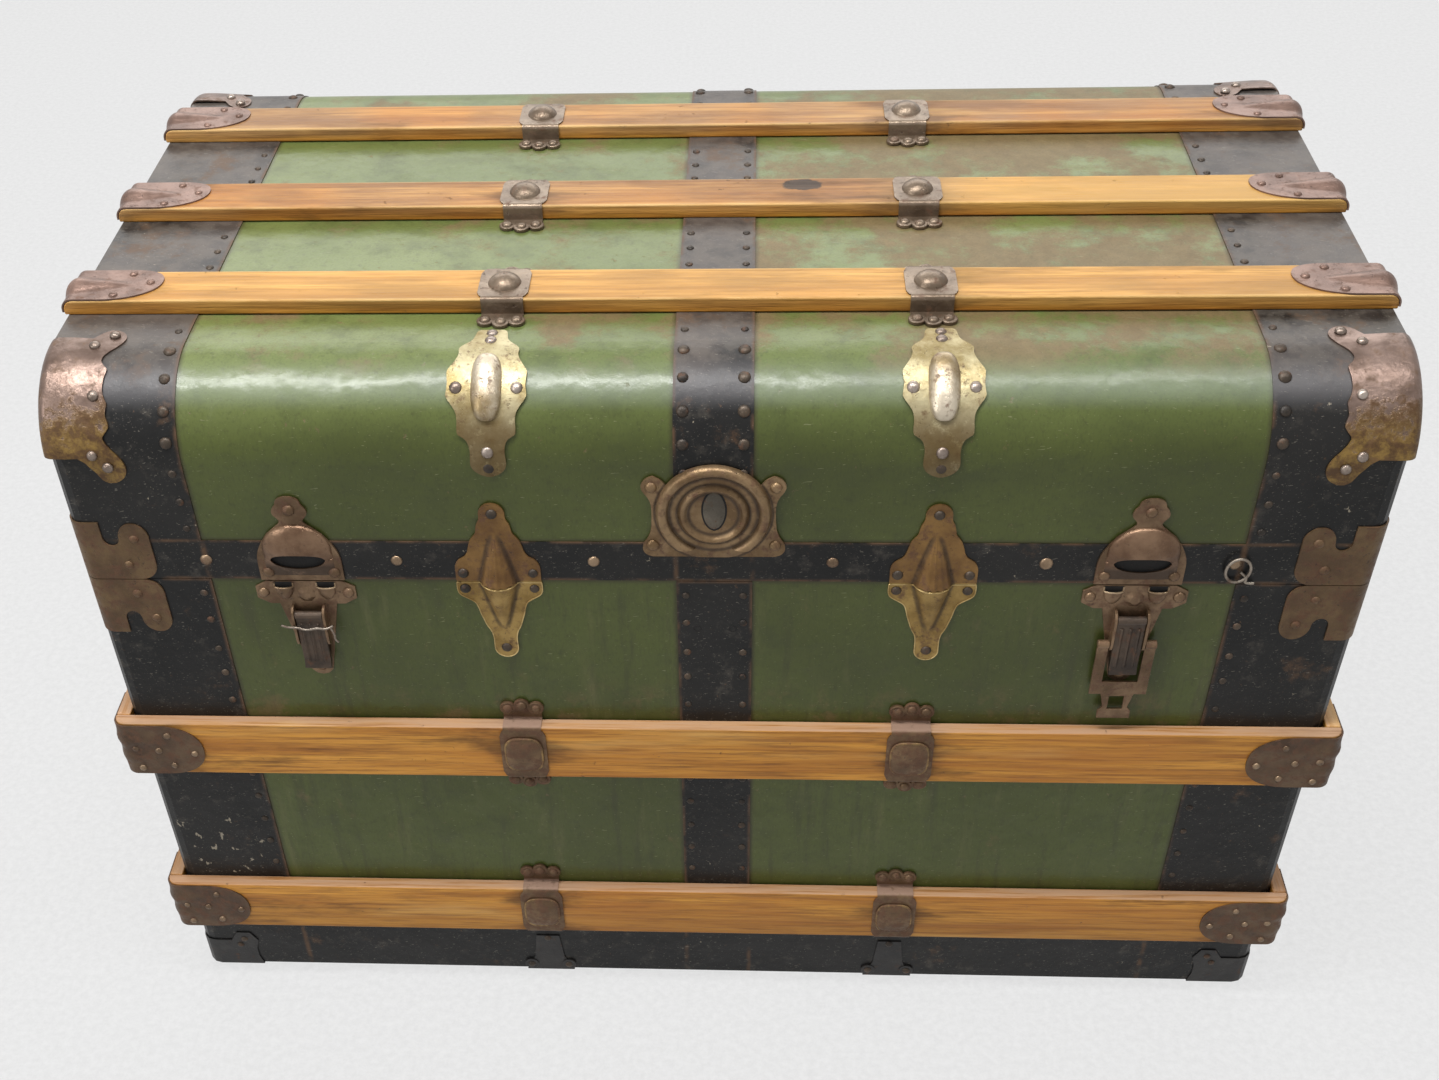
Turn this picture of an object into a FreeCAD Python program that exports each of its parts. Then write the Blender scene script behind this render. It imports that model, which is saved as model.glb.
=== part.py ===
"""Slatted steamer trunk: a boarded box and a round-edged lid, covered, banded, slatted and latched."""

import FreeCAD
import Part
import math
import os

from FreeCAD import Vector

# Overall sizes in millimetres. X runs along the width, the front looks along -Y, the floor is z = 0.
WIDTH = 914.0
DEPTH = 516.0
BASE_H = 441.0
LID_H = 158.4
RUNNER_T = 5.0
SEAM_GAP = 0.6
ROLL_R = 62.0
CORNER_R = 11.0

# Boards, covering sheet and the dark binding bands.
BOARD_T = 10.0
COVER_T = 0.8
BAND_T = 0.8
END_BAND_W = 93.0
SIDE_BAND_W = 60.0
FLANGE_W = 30.0
STRAP_W = 54.0
RIM_H = 34.0
TRAY_H = 70.0

# Hardwood slats.
SLAT_T = 11.0
TOP_SLAT_W = 42.0
TOP_SLAT_IN = 57.5
TOP_SLAT_OVERHANG = 3.0
SLAT_END_R = 7.0
SIDE_SLAT_W = 53.0
SLAT_CORNER_R = 9.0
SLAT_HASP_GAP = 13.0
LOWER_SLAT_UP = 64.0
RUNNER_W = 22.0

# Stamped clamps and caps on the slats.
HARDWARE_T = 1.2
CLAMP_L = 34.0
CLAMP_CHAMFER = 5.0
CLAMP_FOOT = 19.0
CLAMP_LOBE_L = 12.0
CLAMP_LOBE_X = 6.0
CLAMP_BOSS_R = 11.0
CLAMP_BOSS_H = 3.5
CAP_L = 67.0
CAP_NOSE_L = 38.0
CAP_DROP = 2.0
FLUTE_W = 9.0
FLUTE_H = 3.5
FLUTE_L = 27.0
CORNER_CAP_SIDE_L = 38.0
BOTTOM_CLAMP_W = 26.0
BOTTOM_CLAMP_NECK_W = 20.0
BOTTOM_CLAMP_FLARE_W = 42.0
BOTTOM_CLAMP_FLARE_H = 17.0
BOTTOM_CLAMP_WRAP = 12.0

# Stamped corner hardware, shields, guides and the lock front.
BUMPER_T = 2.2
BUMPER_EASE = 3.0
BUMPER_REACH = 34.0
BUMPER_W = 43.0
BUMPER_FOOT = 38.0
BUMPER_TOP = 59.0
BUMPER_TAB_W = 39.0
BUMPER_TAB_UP = 66.0
BUMPER_LOBE = 12.0
BUMPER_SCALLOP = 24.0
BUMPER_SCALLOP_IN = 2.0
BUMPER_LEAF_W = 54.0
BUMPER_LEAF_DOWN = 58.0
BUMPER_LEAF_IN = 24.0
CORNER_PLATE_W = 56.0
CORNER_PLATE_H = 50.0
CORNER_PLATE_SIDE_L = 42.0
CORNER_BLOCK_W = 22.0
CORNER_NOTCH_W = 12.0
CORNER_NOTCH_H = 14.0
CORNER_FOOT_R = 12.0
BOTTOM_BUMPER_W = 50.0
BOTTOM_BUMPER_H = 31.0
BOTTOM_BUMPER_LOBE = 24.0
SHIELD_SHIFT = 4.0
SHIELD_W = 52.0
SHIELD_UP = 61.0
SHIELD_DOWN = 55.0
SHIELD_LOBE_R = 11.5
SHIELD_TAB_R = 5.0
SHIELD_NECK_UP = 48.0
SHIELD_NECK_DOWN = 30.5
SHIELD_SHOULDER_W = 37.5
SHIELD_SHOULDER_UP = 37.5
SHIELD_SHOULDER_DOWN = 24.0
SHIELD_SIDE_H = 16.0
SHIELD_BOSS_W = 22.0
SHIELD_BOSS_L = 47.0
SHIELD_BOSS_H = 5.5
SHIELD_BOSS_UP = 9.0
GUIDE_SHIFT = 6.0
GUIDE_W = 62.0
GUIDE_SHIELD_GAP = 22.0
GUIDE_DOWN = 72.0
GUIDE_EAR_H = 12.0
GUIDE_NECK_W = 30.0
GUIDE_SHOULDER = 28.0
GUIDE_LOBE_R = 9.0
GUIDE_CONE_R = 14.0
GUIDE_CONE_SINK = 4.0
GUIDE_CONE_TIP_R = 3.0
LOCK_UP = 60.4
LOCK_R = 39.5
LOCK_FLAT = 38.0
LOCK_WAIST = 3.0
LOCK_EAR_W = 100.0
LOCK_EAR_H = 21.0
LOCK_EAR_R = 9.0
LOCK_EAR_TOP = 29.0
LOCK_T = 1.5
LOCK_RING_W = 9.5
LOCK_RING_H = 4.5
LOCK_CUP_R = 22.0
LOCK_CUP_W = 5.0
LOCK_CUP_H = 2.5
KEYHOLE_W = 18.0
KEYHOLE_H = 28.0
KEYHOLE_T = 2.0

# Latches.
LATCH_IN = 161.0
PLATE_T = 1.5
CATCH_W = 62.0
CATCH_SIDE_H = 16.0
CATCH_ARCH_H = 56.0
CATCH_NECK_W = 20.0
CATCH_LOBE = 12.0
CATCH_TIP_W = 12.0
CATCH_H = 74.0
LATCH_L = 91.0
LATCH_TIP_R = 9.0
LATCH_WAIST = 42.0
LATCH_W = 76.0
LATCH_EAR = 21.0
LATCH_TOP_GAP = 1.0
HOOD_FOOT = 24.0
HOOD_H = 30.0
HOOD_BEND = 18.0
HOOD_PROUD = 11.0
HOOD_SINK = 28.0
POST_R = 7.0
POST_H = 2.5
POST_DROP = 13.0
CHEEK_T = 2.0
CHEEK_PROUD = 10.0
CHEEK_LAP = 7.0
LEVER_W = 20.0
LEVER_T = 4.0
LEVER_L = 50.0
LEVER_DROP = 29.0
LEVER_TOE = 6.0
LEVER_TOE_LIFT = 2.0
LEVER_SIDE_GAP = 0.4
RIB_W = 3.2
RIB_H = 1.6
RIB_PITCH = 6.0
RIB_DROP = 6.0
HASP_DROP = 51.0
HASP_ARM_W = 8.0
HASP_T = 2.0
HASP_WINDOW = 36.0
HASP_FRAME_L = 48.0
HASP_L = 72.0
HASP_LIP = 7.0
TONGUE_W = 24.0
TONGUE_NECK = 3.0
TONGUE_STEP = 4.0
TONGUE_HOLE_W = 11.0
TONGUE_HOLE_L = 13.0
TONGUE_BRIDGE = 2.0
EYE_R = 3.3
LATCH_AXIS_OUT = 6.5
LATCH_PIN_R = 1.5

# Back hinges.
HINGE_IN = 207.0
HINGE_W = 60.0
HINGE_LEAF_H = 30.0
HINGE_LEAF_T = 1.5
KNUCKLE_R = 3.8
HINGE_PIN_R = 2.0
HINGE_CLEAR = 0.4
RUN_FIT = 0.05

# Leather end handles.
HANDLE_DROP = 66.0
HANDLE_W = 30.0
HANDLE_T = 5.0
HANDLE_SPAN = 190.0
HANDLE_TAIL = 32.0
HANDLE_BOW = 22.0
LOOP_L = 26.0
LOOP_T = 1.5
LOOP_FOOT = 14.0
LOOP_CLEAR = 0.3

# Small bends and stampings repeat, so each of their bows is folded in this many flats.
BEND_FLATS = 3
STAMP_FLATS = 3
HANDLE_FLATS = 8
BOSS_SIDES = 8
BOSS_STEPS = ((1.0, 0.0), (0.5, 1.0))
CONE_SIDES = 12
RING_SIDES = 20

# How far a side of an outline bows, as the rise of its arc over half its length.
QUARTER = math.tan(math.radians(90) / 4)
HALF_TURN = 1.0
ARCH_BOW = 0.27
SCALLOP_BOW = 0.2

# Sizes that follow from those above.
HALF_X = WIDTH / 2
HALF_Y = DEPTH / 2
TRAY_Z = RUNNER_T
SEAM_Z = TRAY_Z + BASE_H
LID_Z = SEAM_Z + SEAM_GAP
LID_TOP_Z = LID_Z + LID_H
RIM_TOP = LID_Z + RIM_H
TRAY_TOP = TRAY_Z + TRAY_H
WOOD_INSET = BAND_T + COVER_T
INNER_INSET = WOOD_INSET + BOARD_T
ROLL_Y = HALF_Y - ROLL_R
ROLL_Z = LID_TOP_Z - ROLL_R
ROLL_HALF_ARC = ROLL_R * math.pi / 4
COVER_Y = HALF_Y - BAND_T
COVER_X = HALF_X - BAND_T
TOP_SLAT_PITCH = ROLL_Y - TOP_SLAT_IN
UPPER_SLAT_Z = SEAM_Z - HASP_DROP - HASP_L - SLAT_HASP_GAP - SIDE_SLAT_W
LOWER_SLAT_Z = TRAY_Z + LOWER_SLAT_UP
LATCH_X = HALF_X - LATCH_IN
CLAMP_X = LATCH_X / 2
SHIELD_X = CLAMP_X + SHIELD_SHIFT
SHIELD_FOOT_Z = ROLL_Z + ROLL_HALF_ARC - SHIELD_DOWN
GUIDE_X = CLAMP_X + GUIDE_SHIFT
GUIDE_UP = SHIELD_FOOT_Z - GUIDE_SHIELD_GAP - LID_Z
LOCK_Z = LID_Z + LOCK_UP
HINGE_X = HALF_X - HINGE_IN
HINGE_AXIS_Y = HALF_Y + KNUCKLE_R + HINGE_CLEAR
HANDLE_Z = SEAM_Z - HANDLE_DROP
CHEEK_X = LEVER_W / 2 + LEVER_SIDE_GAP
HASP_ARM_X = CHEEK_X + CHEEK_T + LEVER_SIDE_GAP
HASP_END_X = HASP_ARM_X + HASP_ARM_W
SIDES = (-1, 1)
FAR = 2 * WIDTH


def box(x0, x1, y0, y1, z0, z1):
    return Part.makeBox(x1 - x0, y1 - y0, z1 - z0, Vector(x0, y0, z0))


def fuse(shapes):
    joined = shapes[0].multiFuse(shapes[1:])
    return joined.removeSplitter()


def outline(points, flats=0):
    """Face in XY from (x, y, bow) corners, listed left-handed; a bowed side is an arc, or so many flats."""
    edges = []
    for (x0, y0, bow), (x1, y1, _) in zip(points, points[1:] + points[:1]):
        start = Vector(x0, y0, 0)
        end = Vector(x1, y1, 0)
        side = Part.LineSegment(start, end).toShape()
        if bow:
            crown = Vector(x0 + x1 + (y1 - y0) * bow, y0 + y1 + (x0 - x1) * bow, 0) / 2
            side = Part.Arc(start, crown, end).toShape()
        if bow and flats:
            stops = side.discretize(flats + 1)
            edges += [Part.LineSegment(a, b).toShape() for a, b in zip(stops, stops[1:])]
        else:
            edges.append(side)
    return Part.Face(Part.Wire(edges))


def symmetric(half, flats=0):
    """Closes a half outline, listed upward on the right of the middle line, with its mirror image."""
    last = len(half) - 1
    left = [(-half[i][0], half[i][1], half[i - 1][2]) for i in range(last, 0, -1)]
    return outline(half[:-1] + left, flats)


def plate(face, thickness, lift=0.0):
    sheet = face.copy()
    sheet.translate(Vector(0, 0, lift))
    return sheet.extrude(Vector(0, 0, thickness))


def cylinder_x(radius, x0, x1, y=0.0, z=0.0):
    return Part.makeCylinder(radius, x1 - x0, Vector(x0, y, z), Vector(1, 0, 0))


def polygon(half_x, half_y, sides, z):
    """Corners of an oval of flats about the Z axis."""
    step = math.radians(360 / sides)
    turns = [step * k + step / 2 for k in range(sides)]
    return [Vector(half_x * math.cos(turn), half_y * math.sin(turn), z) for turn in turns]


def faceted(rings, hollow=False):
    """Solid of flats through rings of corners, closed by its end rings or, if hollow, round to the first."""
    faces = []
    pairs = list(zip(rings, rings[1:]))
    if hollow:
        pairs.append((rings[-1], rings[0]))
    else:
        faces = [Part.Face(Part.makePolygon(r + r[:1])) for r in (rings[0], rings[-1])]
    for low, high in pairs:
        for k in range(len(low)):
            faces.append(Part.Face(Part.makePolygon([low[k - 1], low[k], high[k], high[k - 1], low[k - 1]])))
    solid = Part.Solid(Part.Shell(faces))
    return solid if solid.Volume > 0 else solid.reversed()


def boss(half_x, half_y, height, sink=0.0):
    """Low dome standing on z = 0, with its foot carried down by the sink."""
    rings = [polygon(half_x, half_y, BOSS_SIDES, -sink)] if sink else []
    for shrink, rise in BOSS_STEPS:
        rings.append(polygon(half_x * shrink, half_y * shrink, BOSS_SIDES, height * rise))
    return faceted(rings)


def moved(shape, x, y, z):
    copy = shape.copy()
    copy.translate(Vector(x, y, z))
    return copy


def turned(shape, axis, degrees):
    copy = shape.copy()
    copy.rotate(Vector(0, 0, 0), axis, degrees)
    return copy


def mirror_x(shape):
    return shape.mirror(Vector(0, 0, 0), Vector(1, 0, 0))


def mirror_y(shape):
    return shape.mirror(Vector(0, 0, 0), Vector(0, 1, 0))


def mirror_z(shape, z=0.0):
    return shape.mirror(Vector(0, 0, z), Vector(0, 0, 1))


def on_y_axis(shape, z):
    """Lays a piece drawn about the Z axis along +Y, on an axis at the given level."""
    return moved(turned(shape, Vector(1, 0, 0), -90), 0, 0, z)


def on_front(shape, x, z, y):
    """Stands a piece drawn flat in XY on the front, with its own +Z looking out along -Y."""
    return moved(turned(shape, Vector(1, 0, 0), 90), x, -y, z)


def on_roll(shape, x):
    """Stands a piece drawn flat in XY on the front rolled edge, square to its middle."""
    return moved(turned(shape, Vector(1, 0, 0), 45), x, -ROLL_Y, ROLL_Z)


def four_corners(shape):
    """The front right piece and its three mirror images."""
    right = [shape, mirror_y(shape)]
    return right + [mirror_x(s) for s in right]


def front_and_back(shapes):
    return shapes + [mirror_y(s) for s in shapes]


def group(shapes):
    return Part.makeCompound(shapes)


# Nested blocks that every layer of the base and of the lid is cut from.
def plan(inset):
    """Plan of a layer at the given depth below the bands, its upright corners bent in flats."""
    x = HALF_X - inset
    y = HALF_Y - inset
    bend_x = HALF_X - CORNER_R
    bend_y = HALF_Y - CORNER_R
    return outline([
        (bend_x, -y, QUARTER), (x, -bend_y, 0), (x, bend_y, QUARTER), (bend_x, y, 0),
        (-bend_x, y, QUARTER), (-x, bend_y, 0), (-x, -bend_y, QUARTER), (-bend_x, -y, 0),
    ], BEND_FLATS)


def base_block(inset):
    low = TRAY_Z + inset
    return plate(plan(inset), SEAM_Z - low, low)


def lid_prism(inset, x0, x1):
    """Prism along X of the lid's section: upright walls, rolled edges and a flat top."""
    y = HALF_Y - inset
    top = LID_TOP_Z - inset
    section = outline([
        (-ROLL_Y, top, QUARTER), (-y, ROLL_Z, 0), (-y, LID_Z, 0),
        (y, LID_Z, 0), (y, ROLL_Z, QUARTER), (ROLL_Y, top, 0),
    ])
    upright = turned(turned(section, Vector(1, 0, 0), 90), Vector(0, 0, 1), 90)
    return moved(upright, x0, 0, 0).extrude(Vector(x1 - x0, 0, 0))


def lid_block(inset):
    end = HALF_X - inset
    return lid_prism(inset, -end, end).common(plate(plan(inset), FAR))


def base_parts():
    wood = base_block(WOOD_INSET)
    skin = base_block(BAND_T)
    layer = base_block(0).cut(skin)
    in_x = HALF_X - INNER_INSET
    in_y = HALF_Y - INNER_INSET
    floor_top = TRAY_Z + INNER_INSET
    above_tray = layer.common(box(-FAR, FAR, -FAR, FAR, TRAY_TOP, SEAM_Z))
    corner = box(HALF_X - END_BAND_W, FAR, -FAR, -HALF_Y + SIDE_BAND_W, 0, SEAM_Z)
    strap = box(-STRAP_W / 2, STRAP_W / 2, -FAR, 0, 0, SEAM_Z)
    return {
        "front_board": wood.common(box(-FAR, FAR, -FAR, -in_y, 0, FAR)),
        "back_board": wood.common(box(-FAR, FAR, in_y, FAR, 0, FAR)),
        "left_board": wood.common(box(-FAR, -in_x, -in_y, in_y, 0, FAR)),
        "right_board": wood.common(box(in_x, FAR, -in_y, in_y, 0, FAR)),
        "bottom_board": box(-in_x, in_x, -in_y, in_y, TRAY_Z + WOOD_INSET, floor_top),
        "base_cover": skin.cut(wood),
        "bottom_tray": layer.common(box(-FAR, FAR, -FAR, FAR, 0, TRAY_TOP)),
        "base_corner_bindings": group(four_corners(above_tray.common(corner))),
        "base_centre_straps": group(front_and_back([above_tray.common(strap)])),
    }


def lid_parts():
    wood = lid_block(WOOD_INSET)
    skin = lid_block(BAND_T)
    layer = lid_block(0).cut(skin)
    in_x = HALF_X - INNER_INSET
    between_ends = wood.common(box(-in_x, in_x, -FAR, FAR, 0, FAR))
    wall = between_ends.cut(lid_prism(INNER_INSET, -in_x, in_x))
    above_rim = layer.common(box(-FAR, FAR, -FAR, FAR, RIM_TOP, FAR))
    end_hole = lid_prism(FLANGE_W, HALF_X - BOARD_T, FAR)
    right_band = above_rim.common(box(HALF_X - END_BAND_W, FAR, -FAR, FAR, 0, FAR)).cut(end_hole)
    front_board = wall.common(box(-FAR, FAR, -FAR, -ROLL_Y, 0, ROLL_Z))
    front_round = wall.common(box(-FAR, FAR, -FAR, -ROLL_Y, ROLL_Z, FAR))
    right_end = wood.common(box(in_x, FAR, -FAR, FAR, 0, FAR))
    return {
        "lid_front_board": front_board,
        "lid_back_board": mirror_y(front_board),
        "lid_front_round": front_round,
        "lid_back_round": mirror_y(front_round),
        "lid_top_board": wall.common(box(-FAR, FAR, -ROLL_Y, ROLL_Y, ROLL_Z, FAR)),
        "lid_left_end": mirror_x(right_end),
        "lid_right_end": right_end,
        "lid_cover": skin.cut(wood),
        "lid_left_band": mirror_x(right_band),
        "lid_right_band": right_band,
        "lid_centre_strap": above_rim.common(box(-STRAP_W / 2, STRAP_W / 2, -FAR, FAR, 0, FAR)),
        "lid_rim": layer.common(box(-FAR, FAR, -FAR, FAR, 0, RIM_TOP)),
    }


def top_slat_block(skin):
    """Top slat with its back on z = 0 and its ends eased, all outer faces pushed out by the skin."""
    end = HALF_X + TOP_SLAT_OVERHANG
    bend = end - SLAT_END_R
    low = SLAT_T - SLAT_END_R
    top = SLAT_T + skin
    section = symmetric([
        (0, 0, 0), (end + skin, 0, 0), (end + skin, low, QUARTER), (bend, top, 0), (0, top, 0),
    ], BEND_FLATS)
    return moved(turned(plate(section, TOP_SLAT_W), Vector(1, 0, 0), 90), 0, TOP_SLAT_W / 2, 0)


def slat_ring(skin):
    """Block round the trunk whose faces are the outer faces of the side slats, pushed out by the skin."""
    x = HALF_X + SLAT_T + skin
    y = HALF_Y + SLAT_T + skin
    bend_x = HALF_X + SLAT_T - SLAT_CORNER_R
    bend_y = HALF_Y + SLAT_T - SLAT_CORNER_R
    face = outline([
        (bend_x, -y, QUARTER), (x, -bend_y, 0), (x, bend_y, QUARTER), (bend_x, y, 0),
        (-bend_x, y, QUARTER), (-x, bend_y, 0), (-x, -bend_y, QUARTER), (-bend_x, -y, 0),
    ], BEND_FLATS)
    return plate(face, SIDE_SLAT_W)


def slat_parts():
    parts = {}
    for name, y in (("front", -TOP_SLAT_PITCH), ("middle", 0), ("rear", TOP_SLAT_PITCH)):
        parts[name + "_top_slat"] = moved(top_slat_block(0), 0, y, LID_TOP_Z)
    front = slat_ring(0).common(box(-FAR, FAR, -FAR, -HALF_Y, 0, FAR))
    side = box(HALF_X, HALF_X + SLAT_T, -HALF_Y, HALF_Y, 0, SIDE_SLAT_W)
    right_sides = []
    for name, z in (("upper", UPPER_SLAT_Z), ("lower", LOWER_SLAT_Z)):
        parts[name + "_front_slat"] = moved(front, 0, 0, z)
        parts[name + "_back_slat"] = mirror_y(moved(front, 0, 0, z))
        right_sides.append(moved(side, 0, 0, z))
    parts["right_side_slats"] = group(right_sides)
    parts["left_side_slats"] = group([mirror_x(s) for s in right_sides])
    half_l = HALF_Y - BOTTOM_CLAMP_WRAP
    runner = box(-RUNNER_W / 2, RUNNER_W / 2, -half_l, half_l, 0, RUNNER_T)
    parts["bottom_runners"] = group([moved(runner, side * CLAMP_X, 0, 0) for side in SIDES])
    return parts


def slat_clamp(slat_w, foot_low, foot_high):
    """Saddle over a slat that lies along X with its back on z = 0; the lobed feet lie on the given levels."""
    half_l = CLAMP_L / 2
    neck = half_l - CLAMP_CHAMFER
    edge = slat_w / 2
    over = edge + HARDWARE_T
    shoulder = over - CLAMP_CHAMFER
    top_z = SLAT_T + HARDWARE_T
    top = symmetric([
        (0, -over, 0), (neck, -over, 0), (half_l, -shoulder, 0),
        (half_l, shoulder, 0), (neck, over, 0), (0, over, 0),
    ])
    foot = symmetric([
        (0, edge, 0), (neck, edge, HALF_TURN), (CLAMP_LOBE_X, edge + CLAMP_LOBE_L, QUARTER),
        (0, edge + CLAMP_FOOT, 0),
    ], STAMP_FLATS)
    high_leg = box(-neck, neck, edge, over, foot_high, top_z)
    low_leg = box(-neck, neck, edge, over, foot_low, top_z)
    return fuse([
        plate(top, HARDWARE_T, SLAT_T),
        moved(boss(CLAMP_BOSS_R, CLAMP_BOSS_R, CLAMP_BOSS_H), 0, 0, top_z),
        high_leg, plate(foot, HARDWARE_T, foot_high),
        mirror_y(low_leg), mirror_y(plate(foot, HARDWARE_T, foot_low)),
    ])


def nosed_prism(tip, end, half_w, height):
    """Prism standing on XY whose plan runs from a round nose at the tip to a square end."""
    shoulder = tip + CAP_NOSE_L
    face = outline([
        (tip, 0, QUARTER), (shoulder, -half_w, 0), (end, -half_w, 0),
        (end, half_w, 0), (shoulder, half_w, QUARTER),
    ], STAMP_FLATS)
    return plate(face, height)


def top_slat_cap():
    """Nosed and fluted cap over the +X end of a top slat whose back lies on z = 0."""
    end = HALF_X + TOP_SLAT_OVERHANG
    bend = end - SLAT_END_R
    skin = top_slat_block(HARDWARE_T).cut(top_slat_block(0))
    above = box(0, FAR, -FAR, FAR, CAP_DROP, FAR)
    cap = skin.common(above).common(nosed_prism(end - CAP_L, end + SLAT_T, TOP_SLAT_W / 2, FAR))
    flute = outline([
        (bend - FLUTE_L, 0, 0), (bend, -FLUTE_W / 2, 0), (bend, FLUTE_W / 2, 0),
    ])
    ridge = Part.makeLoft([flute.OuterWire, Part.Vertex(Vector(bend, 0, FLUTE_H))], True, True)
    return fuse([cap, moved(ridge, 0, 0, SLAT_T + HARDWARE_T)])


def slat_corner_cap():
    """Nosed cap wrapped from the front slat's right end onto the side slat, standing on z = 0."""
    end = HALF_X + SLAT_T
    tip = end - CAP_L
    side_end = -HALF_Y - SLAT_T + CORNER_CAP_SIDE_L
    skin = slat_ring(HARDWARE_T).cut(slat_ring(0))
    nose = nosed_prism(tip, end + SLAT_T, SIDE_SLAT_W / 2, FAR)
    return skin.common(on_front(nose, 0, SIDE_SLAT_W / 2, -side_end))


def bottom_clamp(layer):
    """Flared clamp below a lower slat clamp, bent under the tray's bottom edge."""
    low = TRAY_Z - HARDWARE_T
    flare_top = TRAY_Z + BOTTOM_CLAMP_FLARE_H
    top = LOWER_SLAT_Z - CLAMP_FOOT
    shape = symmetric([
        (0, low, 0), (BOTTOM_CLAMP_FLARE_W / 2, low, 0), (BOTTOM_CLAMP_W / 2, flare_top, 0),
        (BOTTOM_CLAMP_NECK_W / 2, top, 0), (0, top, 0),
    ])
    return layer.common(on_front(plate(shape, FAR), 0, 0, HALF_Y - BOTTOM_CLAMP_WRAP))


def slat_hardware():
    on_cover = -BAND_T
    top = slat_clamp(TOP_SLAT_W, on_cover, on_cover)
    tops = []
    caps = []
    for y in (-TOP_SLAT_PITCH, 0, TOP_SLAT_PITCH):
        tops += [moved(top, side * CLAMP_X, y, LID_TOP_Z) for side in SIDES]
        cap = moved(top_slat_cap(), 0, y, LID_TOP_Z)
        caps += [cap, mirror_x(cap)]
    clamps = []
    corner_caps = []
    for slat_z, foot in ((UPPER_SLAT_Z, on_cover), (LOWER_SLAT_Z, 0)):
        clamp = slat_clamp(SIDE_SLAT_W, foot, on_cover)
        middle = slat_z + SIDE_SLAT_W / 2
        clamps += front_and_back([on_front(clamp, side * CLAMP_X, middle, HALF_Y) for side in SIDES])
        corner_caps += four_corners(moved(slat_corner_cap(), 0, 0, slat_z))
    below = bottom_clamp(base_block(-HARDWARE_T).cut(base_block(0)))
    return {
        "top_slat_clamps": group(tops),
        "top_slat_caps": group(caps),
        "base_slat_clamps": group(clamps),
        "slat_corner_caps": group(corner_caps),
        "bottom_clamps": group(front_and_back([moved(below, side * CLAMP_X, 0, 0) for side in SIDES])),
    }


def corner_plate(layer):
    """Plate wrapped round the front right corner: a square block, a U notch and a round lobe."""
    block = -CORNER_BLOCK_W
    lobe = block - CORNER_NOTCH_W
    notch = CORNER_PLATE_H - CORNER_NOTCH_H
    reach = -CORNER_PLATE_W
    face = outline([
        (CORNER_R, 0, 0), (CORNER_R, CORNER_PLATE_H, 0), (block, CORNER_PLATE_H, 0),
        (block, notch, -HALF_TURN), (lobe, notch, HALF_TURN), (reach, notch, 0),
        (reach, CORNER_FOOT_R, QUARTER), (reach + CORNER_FOOT_R, 0, 0),
    ], STAMP_FLATS)
    front = on_front(plate(face, HALF_Y), HALF_X, LID_Z, HALF_Y - CORNER_R)
    side = box(HALF_X - CORNER_R, FAR, -HALF_Y + CORNER_R, -HALF_Y + CORNER_PLATE_SIDE_L,
               LID_Z, LID_Z + CORNER_PLATE_H)
    return layer.common(fuse([front, side]))


def roll_height(along):
    """Height on the sheet that faces the rolled edge, for a distance along its curve from the middle."""
    if abs(along) <= ROLL_HALF_ARC:
        return ROLL_R * math.sin(along / ROLL_R)
    return math.copysign((ROLL_R + abs(along) - ROLL_HALF_ARC) * math.sqrt(0.5), along)


def over_roll(points):
    """Corners drawn along the rolled edge's curve, brought onto the sheet that faces it."""
    return [(x, roll_height(along), bow) for x, along, bow in points]


def bumper(layer):
    """Stamped cap on the lid's front right corner, with a nailed tab above and a leaf below."""
    waist = BUMPER_SCALLOP_IN - BUMPER_W
    face = outline(over_roll([
        (CORNER_R, -BUMPER_FOOT, 0), (CORNER_R, BUMPER_TOP, 0),
        (-BUMPER_TAB_W, BUMPER_TAB_UP, HALF_TURN), (-BUMPER_W, BUMPER_TAB_UP - BUMPER_LOBE, 0),
        (waist, BUMPER_SCALLOP, SCALLOP_BOW), (waist, -BUMPER_SCALLOP, 0),
        (-BUMPER_LEAF_W, BUMPER_LOBE - BUMPER_LEAF_DOWN, HALF_TURN),
        (-BUMPER_W, -BUMPER_LEAF_DOWN, 0), (-BUMPER_LEAF_IN, BUMPER_LOBE - BUMPER_LEAF_DOWN, 0),
    ]), STAMP_FLATS)
    cutter = on_roll(plate(face, ROLL_R, ROLL_R - BUMPER_REACH), HALF_X)
    rim_r = ROLL_R + BUMPER_T - BUMPER_EASE
    ease = Part.makeCone(rim_r + HALF_X, rim_r, HALF_X, Vector(BUMPER_T, -ROLL_Y, ROLL_Z), Vector(1, 0, 0))
    return layer.common(cutter).common(ease)


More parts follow.
